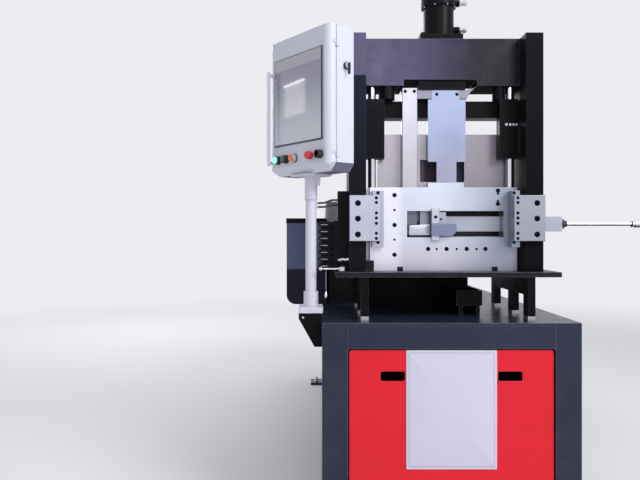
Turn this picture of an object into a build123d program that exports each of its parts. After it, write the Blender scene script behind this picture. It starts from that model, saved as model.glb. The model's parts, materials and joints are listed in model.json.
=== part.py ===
from build123d import *
import math
import os

# Steel framing machine: a roll former for open C studs with a cut-off press at its exit end.
# Millimetres. +Y runs along the line from the exit end (-Y) to the entry end, +Z up.
# Origin: the floor, at the centre of the four floor anchors.

# Fits and gaps
running = 0.05          # radial clearance of shafts, posts and pins
side_gap = 0.3          # gap between neighbours that move past each other
slide_gap = 3.5         # gap round the width guide where it passes the frame

# Base cabinet
base_length = 3000
base_width = 1000
base_top = 865
rail = 100              # section of the welded frame
top_plate = 12
floor_pan = 6
base_post_bays = 3
foot_thickness = 20
foot_length = 140
foot_reach = 90         # how far an anchor foot stands out of the side
foot_grip = 60          # how far it reaches in under the rail
foot_inset = 200        # anchor centre from the end of the base
anchor_radius = 11
panel_thickness = 6
panel_recess = 8

# Lift-off front panel
front_panel_gap = 5
front_panel_depth = 25
front_panel_sheet = 3
front_panel_corner = 12
hand_slot_centre = 227
hand_slot_width = 94
hand_slot_height = 37
hand_slot_corner = 8
hand_slot_z = 658.5

# Power pack inside the base
tank_width = 460
tank_length = 560
tank_height = 330
tank_front = 80         # depth of the tank's near side behind the base front
tank_corner = 6
tank_wall = 5
tank_lid = 8
tank_lid_overhang = 10
filler_radius = 32
filler_height = 60
filler_depth = 530
pump_motor_radius = 95
pump_motor_length = 330
pump_motor_centre = 46  # X of its middle
pump_motor_depth = 300
pump_motor_foot = (160, 140, 12)
pump_radius = 48
pump_length = 90

# Press deck
deck_top = 1057
deck_thickness = 20
deck_inset = 55         # how far the deck ends short of the base's sides
deck_front = 59
deck_length = 581
stop_block = (34, 25, 43)
riser_overhang = 23     # how far the risers reach out past the columns' inner faces
riser_width = 30
riser_rail = 73         # height of the rail along the top of each riser
riser_legs = (72, 288, 570)
riser_leg_length = 60
riser_back_wall = (-285, 200)
riser_back_sheet = 8
riser_front = 72
riser_back_gap = 10     # how far the risers end short of the deck's far edge
riser_foot = 16
tray_x = (70, 178)
tray_z = (905, 969)
tray_front = 250
tray_length = 260
tray_sheet = 3
tray_runner = 15
tray_runner_inset = 10

# Press frame
column_inset = 108      # columns' outer faces from the base's sides
column_thickness = 70
column_front = 118
column_depth = 252
column_top = 2020
beam_underside = 1825
beam_front = 200
beam_recess_x = (-160, 145)
beam_recess_height = 25

# Die set: two plates with a slot between them
clamp_lap = 56          # how far the clamp blocks reach in past the columns
clamp_reach = 68        # and out over them
clamp_z = (1179, 1363)
clamp_thickness = 30
clamp_screw_inset = 35  # screw axes from the columns' inner faces
clamp_screw_z = (1206, 1269, 1331)
clamp_screw_radius = 8
clamp_head_radius = 12
clamp_head_height = 16
clamp_head_sunk = 2
clamp_socket_radius = 7
clamp_socket_depth = 7
gib_lap = 57
gib_width = 32
gib_left_extra = 14     # the left gib reaches this much further in
gib_z = (1155, 1383)
die_front = 175
front_plate_gap = 19    # between the plate's sides and the columns
front_plate_thickness = 40
front_plate_top = 1400
front_step_x = (-64, 84)
front_step_height = 19
window_left = -150
window_post = 55        # width of the plate beside the window
window_z = (1194, 1303)
plate_bore_radius = 9   # counterbores for the plate's socket screws
plate_bore_depth = 11
plate_bores = [(-201.6, 1367.9), (-201.6, 1244.9), (-201.6, 1122.6), (-63.4, 1146.5), (12.8, 1146.5),
               (95.5, 1146.5), (172.4, 1146.5), (224.3, 1387), (224.3, 1332)]
plate_notch_x = (-179, 210.7)
plate_notch = (24, 20, 16)
tool_slot = 47
rear_plate_gaps = (60, 36)
rear_plate_thickness = 40
rear_plate_top = 1631
rear_window_x = (-84, 104)
rear_window_z = (1429, 1523)
spacer_width = 54
spacer_gap = 6          # between the spacers and the columns
lower_die_gap = 12
lower_die_top = 1198
slug_slot_x = (-170, -38)
slug_ledge = 5          # how far the deck's slot is narrower than the slot above it, on each side

# Stud that the machine makes: its web lies flat on the pass line
pass_line = 1200
stud_centre = -97
stud_web = 89
stud_flange = 41
sheet = 1.2
stud_side_room = 8
stud_height_room = 21
stud_drop = 10

# Moving tools
press_stroke = 60
tool_thickness = 40
tool_front = 218
post_inset = 32         # post axes from the columns' inner faces
post_radius = 17
post_setback = 18       # post centres behind the front die plate
bush_wall = 10
bush_width = 76
bush_gap = 6
bush_bottom = 1523
buffers = [(-62, 34), (46, 28)]  # distance in from the left and the right post's axis, and radius
buffer_setback = 3
crosshead_z = (1700, 1771)
crosshead_depth = 72
ram_half = 98
ram_top = 1811
ram_height = 37
ram_front = 210
tool_chamfer = 2
crossbar_right = 125
crossbar_height = 37
crossbar_slant = 20
tongue_x = (-40, 74)    # the blade holder's tongue, which parts the crossbar
shoulder_gap = 3
tool_bore_radius = 7
tool_bore_depth = 9
holder_bores = (-20, 64)
punch_bores = (-152, -114)
punch_bore_drop = 14
flange_punch_x = (-165, -101)
flange_punch_top = 1819
punch_bottom = 1247
holder_head_x = (-57, 100)
holder_neck_x = (-21, 62)
holder_foot_x = (-90, -42)
holder_heel_rise = 98   # the neck's end above the blade's edge
holder_foot_rise = 45   # the foot's top above the neck's end
holder_neck_rise = 120  # the shoulder above the foot's top

# Press cylinder
rod_radius = 28
rod_setback = 32        # rod centre behind the tools
piston_radius = 50
piston_height = 40
piston_spare = 20       # room above the piston at rest, and below it at the end of the stroke
gland_height = 40
cylinder_wall = 14
cylinder_cap = 20
cylinder_collar = 45
cylinder_collar_reach = 10
cylinder_flange = (180, 150)
cylinder_flange_height = 26
port_radius = 15
port_reach = 24
port_inset = 22

# Width guide at the exit
guide_bar_z = (1219, 1282)
guide_bar_front = 223
guide_bar_thickness = 28
guide_bar_proud = 116   # how far the bar stands out of the right column
guide_arm_right = 10
guide_arm_top = 1298
guide_strip_x = (-52, -20)
guide_strip_z = (1180, 1312)
guide_strip_thickness = 24
guide_strip_chamfer = 1.5
guide_screw_z = 1277
guide_root_gap = 4
guide_arm_gap = 2
guide_shoe = [(-53, 1201), (-53, 1246), (44, 1251), (49, 1221), (30, 1200)]
guide_shoe_thickness = 10
pull_rod_radius = 7.5
pull_rod_length = 293
grip_radius = 15
grip_length = 130
grip_collar = 14
grip_collar_radius = 11.5
grip_round = 5

# Forming stations
station_count = 5
station_pitch = 320
first_station = 960     # depth of the first station behind the base front
roll_radius = 80
roll_rim = 6
shaft_radius = 22
collar_radius = 32
stand_x = (100, 160)
stand_depth = 120
stand_top = 1375
stand_foot = 50
stand_foot_height = 20
bearing_cap_radius = 38
bearing_cap_height = 8
stand_rib = 12
shaft_end = 180
shaft_chamfer = 2
adjuster_radius = 11
adjuster_height = 16
gearbox_inset = 20      # from the base's left side
gearbox_width = 150
gearbox_wall = 14
gearbox_lid = 12
gearbox_lid_overhang = 6
gearbox_top = 1375
gearbox_bore = 90
gearbox_overrun = 170
gearbox_round = 15
guard_width = 190
guard_z = (872, 1284)
guard_front = 625
guard_length = 560
guard_corner = 45
guard_sheet = 4
motor_radius = 92
motor_length = 420
motor_z = 1120
motor_reach = 105       # motor axis from the gearbox side
motor_fin_count = 28
motor_fin = (9, 3)
motor_fan_cover = 70
motor_flange = (12, 30)
motor_bracket = (180, 140)
motor_box = (120, 120, 150)
motor_box_back = 200
entry_table_length = 420
entry_table_half = 160
entry_sheet = 12
entry_guide_width = 30
entry_guide_height = 45
entry_guide_inset = 20
entry_gap = 200         # from the last station's shafts to the table
strip_width = 182
strip_room = 1

# Pole and swivelling control cabinet
pole_reach = 44.5       # pole axis from the base's left side
pole_depth = 130
pole_flange = 97
pole_flange_z = (893, 917)
pole_flange_corner = 8
pole_sleeve_radius = 29.5
pole_sleeve_top = 977
pole_radius = 22
pole_seam = 1345
pole_spigot_radius = 18
pole_spigot_height = 50
swivel_radius = 25.5
bracket_foot = 759
bracket_plate = 12
bracket_back = 10
bracket_lip = 30
bracket_width = 90
swivel_plate = (130, 110, 8)
swivel_gland = (18, 18, 37)
swivel_gland_low = 1405
swivel_gland_forward = 3
cabinet_turn = -51.6    # degrees from facing -Y
cabinet_x = (-196, 200)
cabinet_y = (-70.6, 60)
cabinet_z = (1448, 2000)
cabinet_sheet = 4
cabinet_corner = 10
cabinet_chamfer = 32    # along the lower edges
door_thickness = 38
door_corner = 30
hinge_radius = 4
hinge_height = 26
hinge_leaf_width = 16
hinge_leaf_sheet = 1.5
hinge_z = (1512, 1930)
screen_x = (-152, 167)
screen_z = (1567, 1921)
screen_depth = 46
screen_proud = 2
button_z = 1511
button_radius = 14
button_stem = 11
button_height = 24
button_lift = 5         # how far a head stands off the door, more than its travel
button_back = 6
button_x = (-126, -70, -14)
stop_x = 100
stop_radius = 16
stop_height = 30
stop_lift = 10
stop_round = 5
socket_x = 153
socket_radius = 16
socket_wall = 4
socket_floor = 8
socket_height = 22
handle_x = -160
handle_z = (1490, 1878)
handle_radius = 7
handle_reach = 28
handle_end = 12
lock_y = 16
lock_z = 1850
lock_radius = 14
lock_height = 12
lock_wing = (12, 4, 42)
lock_wing_drop = 34     # how far the key's bow hangs below the lock's axis

# Valve block on the left column
valve_width = 60
valve_z = (1064, 1262)
valve_front = 150
valve_depth = 112
coil_reach = 56
coil_height = 20
coil_inset = 12
coil_count = 7
terminal_width = 44
terminal_top = 1383
terminal_depth = 80
lever_inset = 28        # its pin from the left column's outer face
lever_depth = 84
lever_length = 84
lever_radius = 4
lever_knob = 8
lever_hub = 12
lever_hub_height = 16
lever_pin = 5
lever_pin_head = 6
lever_pad = (30, 24, 4)
cable_radius = 4
cable_boss = 6
cable_boss_wall = 2
cable_offset = 14
cable_inset = 5
cable_lead = 26
cable_start_z = (1334, 1318)
cable_end_z = (1347, 1326)

# Derived places
front = -base_length / 2
side = base_width / 2
inner_half = side - rail
column_outer = side - column_inset
column_inner = column_outer - column_thickness
deck_half_width = side - deck_inset
riser_outer = column_inner + riser_overhang
clamp_x = (column_inner - clamp_lap, column_inner + clamp_reach)
clamp_screw_x = column_inner + clamp_screw_inset
gib_x = (column_inner - gib_lap, column_inner - gib_lap + gib_width)
front_plate_half = column_inner - front_plate_gap
window_x = (window_left, front_plate_half - window_post)
rear_plate_x = (rear_plate_gaps[0] - column_inner, column_inner - rear_plate_gaps[1])
spacer_x = (column_inner - spacer_gap - spacer_width, column_inner - spacer_gap)
lower_die_half = spacer_x[0] - lower_die_gap
post_x = column_inner - post_inset
bush_outer = column_inner - bush_gap
bush_inner = bush_outer - bush_width
holder_heel = punch_bottom + holder_heel_rise
holder_foot_top = holder_heel + holder_foot_rise
holder_shoulder = holder_foot_top + holder_neck_rise
guide_bar_end = column_outer + guide_bar_proud
pull_rod_end = guide_bar_end + pull_rod_length
gearbox_x = (gearbox_inset - side, gearbox_inset + gearbox_width - side)
guard_x = (gearbox_x[0] - guard_width, gearbox_x[0])
motor_centre = gearbox_x[0] - motor_reach
pole_x = -side - pole_reach
valve_x = (-column_outer - valve_width, -column_outer)
terminal_x = (-column_outer - terminal_width, -column_outer)
lever_x = -column_outer - lever_inset
column_back = column_front + column_depth
die_back = die_front + front_plate_thickness
rear_front = die_back + tool_slot
rear_back = rear_front + rear_plate_thickness
tool_back = tool_front + tool_thickness
post_depth = die_back + post_setback
crossbar_z = (ram_top - crossbar_height, ram_top)
rod_depth = tool_back + rod_setback
deck_back = deck_front + deck_length
cylinder_base = column_top + gland_height
cylinder_top = cylinder_base + press_stroke + 2 * piston_spare + piston_height + cylinder_cap
lower_shaft_z = pass_line - roll_radius
upper_shaft_z = pass_line + sheet + roll_radius
stations = [front + first_station + i * station_pitch for i in range(station_count)]
guard_back = front + guard_front + guard_length
door_back = cabinet_y[0] + door_thickness


def block(x, y, z):
    """A box from three (low, high) pairs."""
    centre = Pos(sum(x) / 2, sum(y) / 2, sum(z) / 2)
    return centre * Box(abs(x[1] - x[0]), abs(y[1] - y[0]), abs(z[1] - z[0]))


def depth(low, high):
    """Two depths behind the base front, as Y values."""
    return (front + low, front + high)


def post(x, y, z, radius):
    """An upright round bar."""
    return Pos(x, y, sum(z) / 2) * Cylinder(radius, z[1] - z[0])


def bar_x(x, y, z, radius):
    """A round bar along X."""
    return Pos(sum(x) / 2, y, z) * Rot(0, 90, 0) * Cylinder(radius, x[1] - x[0])


def bar_y(x, y, z, radius):
    """A round bar along Y."""
    return Pos(x, sum(y) / 2, z) * Rot(90, 0, 0) * Cylinder(radius, y[1] - y[0])


def plate_xz(points, y):
    """A plate with an outline in X and Z, between two Y values."""
    face = make_face(Polyline(*[(px, y[0], pz) for px, pz in points], close=True))
    return extrude(face, amount=y[1] - y[0], dir=(0, 1, 0))


def plate_xy(points, z):
    """A plate with an outline in X and Y, between two heights."""
    face = make_face(Polyline(*[(px, py, z[0]) for px, py in points], close=True))
    return extrude(face, amount=z[1] - z[0], dir=(0, 0, 1))


def mirror_x(shape):
    return mirror(shape, about=Plane.YZ)


def pair(shape):
    """A piece and its mirror image on the left."""
    return Compound(children=[shape, mirror_x(shape)])


def base_frame():
    """Welded frame: end frames, side rails and posts, a top plate, a floor pan and six feet, face to face."""
    high = base_top - top_plate
    low, bay_top = foot_thickness + rail, base_top - rail
    members = []
    for y in (depth(0, rail), depth(base_length - rail, base_length)):
        members += [block((-inner_half, inner_half), y, (foot_thickness, low)),
                    block((-inner_half, inner_half), y, (bay_top, high))]
        for upright in (block((inner_half, side), y, (foot_thickness, high)), corner_weld(y, low, 1),
                        corner_weld(y, bay_top, -1)):
            members += [upright, mirror_x(upright)]
    between_ends = depth(rail, base_length - rail)
    rail_x = (inner_half, side)
    lengths = [block(rail_x, between_ends, (foot_thickness, low)),
               block(rail_x, between_ends, (bay_top, high))]
    for here, after in zip(bay_centres(), bay_centres()[1:]):
        y = (here + bay_length() / 2, after - bay_length() / 2)
        lengths.append(block(rail_x, y, (low, bay_top)))
    for member in lengths:
        members += [member, mirror_x(member)]
    members.append(block((-side, side), depth(0, base_length), (high, base_top)))
    members.append(block((-inner_half, inner_half), between_ends, (low - floor_pan, low)))
    return Compound(children=members + feet())


def corner_weld(y, z, up):
    """The rounded inner corner of an end frame."""
    centre = (inner_half - front_panel_corner, z + up * front_panel_corner)
    corner = block((centre[0], inner_half), y, sorted((z, centre[1])))
    return corner - bar_y(centre[0], (y[0] - 1, y[1] + 1), centre[1], front_panel_corner)


def feet():
    """Anchor feet at the ends that reach out of the sides, and plain feet in the middle."""
    plates = []
    for y in (front + foot_inset, 0, -front - foot_inset):
        x = (side - foot_grip, side + (foot_reach if y else 0))
        plate = block(x, (y - foot_length / 2, y + foot_length / 2), (0, foot_thickness))
        if y:
            plate -= post(side + foot_reach / 2, y, (-1, foot_thickness + 1), anchor_radius)
        plates += [plate, mirror_x(plate)]
    return plates


def bay_length():
    return (base_length - rail * (base_post_bays + 1)) / base_post_bays


def bay_centres():
    step = bay_length() + rail
    return [front + rail + bay_length() / 2 + i * step for i in range(base_post_bays)]


def cabinet_panels():
    """Screwed sheets that fill the side bays and the entry end."""
    outer = side - panel_recess
    half = bay_length() / 2
    low, high = foot_thickness + rail, base_top - rail
    panels = []
    for y in bay_centres():
        panel = block((outer - panel_thickness, outer), (y - half, y + half), (low, high))
        panels += [panel, mirror_x(panel)]
    end = extrude(RectangleRounded(2 * inner_half, high - low, front_panel_corner), amount=panel_thickness)
    panels.append(Pos(0, -front - panel_recess, (low + high) / 2) * Rot(90, 0, 0) * end)
    return Compound(children=panels)


def front_panel():
    """Folded lift-off panel: a sheet with two hand slots, and four flanges that end short of its corners."""
    low = foot_thickness + rail + side_gap
    high = base_top - rail - front_panel_gap
    half, middle = inner_half - front_panel_gap, (low + high) / 2
    outer = RectangleRounded(2 * half, high - low, front_panel_corner)
    seam = front + panel_recess + front_panel_sheet
    face = Pos(0, seam, middle) * Rot(90, 0, 0) * extrude(outer, amount=front_panel_sheet)
    for x in (-hand_slot_centre, hand_slot_centre):
        outline = RectangleRounded(hand_slot_width, hand_slot_height, hand_slot_corner)
        slot = extrude(outline, amount=rail, both=True)
        face -= Pos(x, front + rail / 2, hand_slot_z) * Rot(90, 0, 0) * slot
    y = (seam, front + panel_recess + front_panel_depth)
    corner, wall = front_panel_corner, front_panel_sheet
    flanges = [block((corner - half, half - corner), y, z) for z in ((low, low + wall), (high - wall, high))]
    flange = block((half - wall, half), y, (low + corner, high - corner))
    return Compound(children=[face, *flanges, flange, mirror_x(flange)])


def hydraulic_tank():
    """Oil tank on the floor pan, closed by a lid with a filler neck."""
    half = tank_width / 2
    floor = foot_thickness + rail
    top = floor + tank_height
    tank = block((-half, half), depth(tank_front, tank_front + tank_length), (floor, top))
    tank = fillet(tank.edges().filter_by(Axis.Z), tank_corner)
    inner_y = depth(tank_front + tank_wall, tank_front + tank_length - tank_wall)
    tank -= block((tank_wall - half, half - tank_wall), inner_y, (floor + tank_wall, top + 1))
    over = tank_lid_overhang
    lid = block((-half - over, half + over), depth(tank_front - over, tank_front + tank_length + over),
                (top, top + tank_lid))
    neck = post(-half / 2, front + filler_depth, (top, top + filler_height), filler_radius)
    return Compound(children=[tank, lid + neck])


def pump_motor():
    """Electric motor and pump on the tank lid."""
    lid = foot_thickness + rail + tank_height + tank_lid
    width, length, lift = pump_motor_foot
    y, z = front + pump_motor_depth, lid + pump_motor_radius + lift
    left, right = pump_motor_centre - pump_motor_length / 2, pump_motor_centre + pump_motor_length / 2
    foot_x = (pump_motor_centre - width / 2, pump_motor_centre + width / 2)
    foot = block(foot_x, (y - length / 2, y + length / 2), (lid, z))
    pump = bar_x((left - pump_length, left), y, z, pump_radius)
    return bar_x((left, right), y, z, pump_motor_radius) + foot + pump


def deck_plate():
    x = (-deck_half_width, deck_half_width)
    deck = block(x, depth(deck_front, deck_back), (deck_top - deck_thickness, deck_top))
    slot_y = depth(die_back + slug_ledge, rear_front - slug_ledge)
    deck -= block(slug_slot_x, slot_y, (deck_top - 2 * deck_thickness, deck_top + deck_thickness))
    y = front + lever_depth
    width, length, height = lever_pad
    pad_top = deck_top + height
    pad_y = (y - length / 2, y + length / 2)
    deck += block((lever_x - width / 2, lever_x + width / 2), pad_y, (deck_top, pad_top))
    width, length, height = stop_block
    stop_y = depth(die_front - side_gap - length, die_front - side_gap)
    deck += block((-column_inner, width - column_inner), stop_y, (deck_top, deck_top + height))
    return deck + post(lever_x, y, (pad_top, pad_top + lever_hub_height + lever_pin_head), lever_pin)


def deck_risers():
    """Two benches under the deck, each a rail on three legs, and a wall across most of the far end."""
    x = (riser_outer - riser_width, riser_outer)
    top = deck_top - deck_thickness
    far = deck_back - riser_back_gap
    members = [block(x, depth(riser_front, far), (top - riser_rail, top))]
    for start in riser_legs:
        leg = depth(start, start + riser_leg_length)
        members.append(block(x, leg, (base_top + riser_foot, top - riser_rail)))
    wall = block(riser_back_wall, depth(far - riser_back_sheet, far), (base_top, top))
    return Compound(children=members + [mirror_x(member) for member in members] + [wall])


def riser_feet():
    feet = []
    x = (riser_outer - riser_width, riser_outer)
    for start in riser_legs:
        foot = block(x, depth(start, start + riser_leg_length), (base_top, base_top + riser_foot))
        feet += [foot, mirror_x(foot)]
    return Compound(children=feet)


def slug_tray():
    """Folded tray that catches the slugs, on two runners."""
    y = depth(tray_front, tray_front + tray_length)
    tray = block(tray_x, y, tray_z)
    inner_x = (tray_x[0] + tray_sheet, tray_x[1] - tray_sheet)
    inner_y = (y[0] + tray_sheet, y[1] - tray_sheet)
    tray -= block(inner_x, inner_y, (tray_z[0] + tray_sheet, tray_z[1] + tray_sheet))
    for x in (tray_x[0] + tray_runner_inset, tray_x[1] - tray_runner_inset - tray_runner):
        tray += block((x, x + tray_runner), y, (base_top, tray_z[0]))
    return tray


def column(hand):
    """Upright of the press frame. The right one has the slot that the width guide passes through."""
    z = (deck_top, column_top)
    body = block((column_inner, column_outer), depth(column_front, column_back), z)
    if hand < 0:
        return mirror_x(body)
    slot_y = depth(guide_bar_front - slide_gap, guide_bar_front + guide_bar_thickness + slide_gap)
    slot_z = (guide_bar_z[0] - slide_gap, guide_bar_z[1] + slide_gap)
    return body - block((column_inner - 1, column_outer + 1), slot_y, slot_z)


def top_beam():
    x = (-column_inner, column_inner)
    beam = block(x, depth(beam_front, column_back), (beam_underside, column_top))
    recess_z = (beam_underside - 1, beam_underside + beam_recess_height)
    beam -= block(beam_recess_x, depth(beam_front - 1, column_back + 1), recess_z)
    return beam - post(0, front + rod_depth, (beam_underside - 1, column_top + 1), rod_radius + running)


def clamp_blocks():
    """Thick plates that clamp the gibs to the columns, with counterbored screw holes."""
    y = depth(column_front - clamp_thickness, column_front)
    body = block(clamp_x, y, clamp_z)
    body = chamfer(body.edges().group_by(Axis.Y)[0], 2)
    for z in clamp_screw_z:
        body -= bar_y(clamp_screw_x, (y[0] - 1, y[0] + clamp_head_height), z, clamp_head_radius)
        body -= bar_y(clamp_screw_x, (y[0], y[1] + 1), z, clamp_screw_radius)
    return pair(body)


def clamp_screws():
    """Six hexagon socket screws, seated in the counterbores."""
    screws = []
    y = front + column_front - clamp_thickness + clamp_head_height
    face = y - clamp_head_height + clamp_head_sunk
    for z in clamp_screw_z:
        head = bar_y(clamp_screw_x, (face, y), z, clamp_head_radius - side_gap)
        socket = Rot(90, 0, 0) * extrude(RegularPolygon(clamp_socket_radius, 6), amount=2 * clamp_socket_depth)
        head -= Pos(clamp_screw_x, face + clamp_socket_depth, z) * socket
        shank = bar_y(clamp_screw_x, (y, front + column_front), z, clamp_screw_radius - side_gap)
        screws += [head + shank, mirror_x(head + shank)]
    return Compound(children=screws)


def gibs():
    """Bars that hold the die set against the clamp blocks. The left one is the wider."""
    y = depth(column_front, die_front)
    left_x = (-gib_x[1], gib_left_extra - gib_x[0])
    return Compound(children=[block(gib_x, y, gib_z), block(left_x, y, gib_z)])


def front_die_plate():
    """Front plate of the die set, with the stepped top and the exit window."""
    left, right = front_step_x
    step = front_plate_top + front_step_height
    outline = [(-front_plate_half, deck_top), (front_plate_half, deck_top), (front_plate_half, front_plate_top),
               (right, front_plate_top), (right, step), (left, step), (left, front_plate_top),
               (-front_plate_half, front_plate_top)]
    plate = plate_xz(outline, depth(die_front, die_back))
    plate -= block(window_x, depth(die_front - 1, die_back + 1), window_z)
    for x, z in plate_bores:
        plate -= bar_y(x, depth(die_front - 1, die_front + plate_bore_depth), z, plate_bore_radius)
    width, length, height = plate_notch
    for x in plate_notch_x:
        notch_y = depth(die_front - 1, die_front + length)
        plate -= block((x - width / 2, x + width / 2), notch_y, (deck_top - 1, deck_top + height))
    return plate


def rear_die_plate():
    """Rear plate of the die set: an opening for the stud and one that shows the blade's neck."""
    y = depth(rear_front, rear_back)
    plate = block(rear_plate_x, y, (deck_top, rear_plate_top))
    cut_y = (y[0] - 1, y[1] + 1)
    plate -= block(rear_window_x, cut_y, rear_window_z)
    half = stud_web / 2 + stud_side_room
    stud_z = (pass_line - stud_drop, pass_line + stud_flange + stud_height_room)
    return plate - block((stud_centre - half, stud_centre + half), cut_y, stud_z)


def die_spacers():
    """Bars between the two die plates that also carry the guide posts."""
    body = block(spacer_x, depth(die_back, rear_front), (deck_top, front_plate_top))
    slot_y = depth(guide_bar_front - slide_gap, guide_bar_front + guide_bar_thickness + slide_gap)
    slot_z = (guide_bar_z[0] - slide_gap, guide_bar_z[1] + slide_gap)
    slotted = body - block((spacer_x[0] - 1, spacer_x[1] + 1), slot_y, slot_z)
    return Compound(children=[slotted, mirror_x(body)])


def lower_die():
    """Two blocks that carry the stud on both sides of the slot that the tools and the slugs go down."""
    y, z = depth(die_back, rear_front), (deck_top, lower_die_top)
    left = block((-lower_die_half, slug_slot_x[0]), y, z)
    return Compound(children=[left, block((slug_slot_x[1], lower_die_half), y, z)])


def guide_posts():
    return pair(post(post_x, front + post_depth, (front_plate_top, beam_underside), post_radius))


def crosshead():
    """Slide that carries the tools and runs on the two guide posts, with a buffer on each bush."""
    y = depth(tool_back, tool_back + crosshead_depth)
    body = block((-bush_outer, bush_outer), y, crosshead_z)
    body += block((-ram_half, ram_half), y, (crosshead_z[0], ram_top))
    bush_y = depth(post_depth - post_radius - bush_wall, tool_back + 1)
    bush = block((bush_inner, bush_outer), bush_y, (bush_bottom, crosshead_z[1]))
    body += bush + mirror_x(bush)
    for x in (-post_x, post_x):
        body -= post(x, front + post_depth, (bush_bottom - 1, crosshead_z[1] + 1), post_radius + running)
    for inset, radius in buffers:
        x = math.copysign(post_x, inset) - inset
        y = front + post_depth + buffer_setback
        body += post(x, y, (crosshead_z[1], beam_underside - side_gap), radius)
    return body


def flange_punch():
    body = block(flange_punch_x, depth(tool_front, tool_back), (punch_bottom, flange_punch_top))
    body = chamfer(body.edges().filter_by(Axis.Z).group_by(Axis.Y)[0], tool_chamfer)
    return body - tool_bores(punch_bores, flange_punch_top - punch_bore_drop)


def tool_bores(places, z):
    """Counterbores for the tools' socket screws, in a row."""
    y = depth(tool_front - 1, tool_front + tool_bore_depth)
    return Compound(children=[bar_y(x, y, z, tool_bore_radius) for x in places])


def crossbar():
    """Bar over the tools in two lengths, with the blade holder's tongue between them."""
    y, (low, high) = depth(tool_front, tool_back), crossbar_z
    left = block((flange_punch_x[1], tongue_x[0]), y, crossbar_z)
    start, end = tongue_x[1], crossbar_right
    outline = [(start, low), (end - crossbar_slant, low), (end, high), (start, high)]
    return Compound(children=[left, plate_xz(outline, y)])


def blade_holder():
    """T-shaped plate: a head with a tongue up through the crossbar, a neck, and the blade at its foot."""
    head, neck, foot = holder_head_x, holder_neck_x, holder_foot_x
    top, peak = crossbar_z[0] - shoulder_gap, crossbar_z[1]
    outline = [(head[0], top), (tongue_x[0], top), (tongue_x[0], peak), (tongue_x[1], peak), (tongue_x[1], top),
               (head[1], top), (head[1], holder_shoulder), (neck[1], holder_shoulder),
               (neck[1], holder_heel), (foot[1], holder_heel), (foot[1], punch_bottom), (foot[0], punch_bottom),
               (foot[0], holder_foot_top), (neck[0], holder_foot_top), (neck[0], holder_shoulder),
               (head[0], holder_shoulder)]
    return plate_xz(outline, depth(tool_front, tool_back)) - tool_bores(holder_bores, sum(crossbar_z) / 2)


def press_cylinder():
    """Cylinder on the beam: flange, barrel, collar and two ports, hollow for rod and piston."""
    y = front + rod_depth
    outer = piston_radius + cylinder_wall
    width, length = cylinder_flange
    body = block((-width / 2, width / 2), (y - length / 2, y + length / 2),
                 (column_top, column_top + cylinder_flange_height))
    body += post(0, y, (column_top, cylinder_top), outer)
    body += post(0, y, (cylinder_top - cylinder_collar, cylinder_top), outer + cylinder_collar_reach)
    for z in (cylinder_base + port_inset, cylinder_top - port_inset):
        body += bar_x((0, outer + port_reach), y, z, port_radius)
    body -= post(0, y, (column_top - 1, cylinder_base), rod_radius + running)
    return body - post(0, y, (cylinder_base, cylinder_top - cylinder_cap), piston_radius + running)


def press_ram():
    """Rod with its piston, screwed into the block that pushes the crosshead."""
    y = front + rod_depth
    top = cylinder_top - cylinder_cap - piston_spare
    ram_back = tool_back + crosshead_depth
    push = block((-ram_half, ram_half), depth(ram_front, ram_back), (ram_top, ram_top + ram_height))
    rod = post(0, y, (ram_top + ram_height, top), rod_radius)
    return push + rod + post(0, y, (top - piston_height, top), piston_radius)


def width_guide_bar():
    """Bar through the window, an arm that reaches forward, the arm's head, and the rod that pulls it."""
    y0, y1 = depth(guide_bar_front, guide_bar_front + guide_bar_thickness)
    arm_front = front + die_front - side_gap
    arm_back = front + tool_front - guide_arm_gap
    left, right = holder_foot_x[1] + guide_root_gap, guide_arm_right
    arm = block((left, right), (arm_front, y1), guide_bar_z)
    head = block((left, right), (arm_front, arm_back), (guide_bar_z[1], guide_arm_top))
    bar = block((right, guide_bar_end), (y0, y1), guide_bar_z)
    rod = bar_x((guide_bar_end, pull_rod_end), (y0 + y1) / 2, sum(guide_bar_z) / 2, pull_rod_radius)
    return Compound(children=[arm, head, bar, rod])


def guide_strip():
    """Strip that leads the stud's free edge, with a shoe on its lower half and its screw's counterbore."""
    face = die_front - side_gap - guide_strip_thickness
    body = block(guide_strip_x, depth(face, die_front - side_gap), guide_strip_z)
    body = chamfer(body.edges().group_by(Axis.Y)[0], guide_strip_chamfer)
    bore = depth(face - 1, face + tool_bore_depth)
    body -= bar_y(sum(guide_strip_x) / 2, bore, guide_screw_z, tool_bore_radius)
    return body + plate_xz(guide_shoe, depth(face - guide_shoe_thickness, face))


def pull_grip():
    """Chromed round grip with a narrow neck."""
    y = front + guide_bar_front + guide_bar_thickness / 2
    z = sum(guide_bar_z) / 2
    body = bar_x((pull_rod_end + grip_collar, pull_rod_end + grip_length), y, z, grip_radius)
    body = fillet(body.edges().group_by(Axis.X)[-1], grip_round)
    return body + bar_x((pull_rod_end, pull_rod_end + grip_collar), y, z, grip_collar_radius)


def revolve_x(points, y, z):
    """A turned piece about an axis along X, from (x, radius) points."""
    face = make_face(Polyline(*[(px, 0, pr) for px, pr in points], close=True))
    return Pos(0, y, z) * revolve(face, axis=Axis.X)


def flange_angle(index):
    """Station 0 is the last before the press, where the flanges stand square."""
    return 90 * (station_count - index) / station_count


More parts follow.
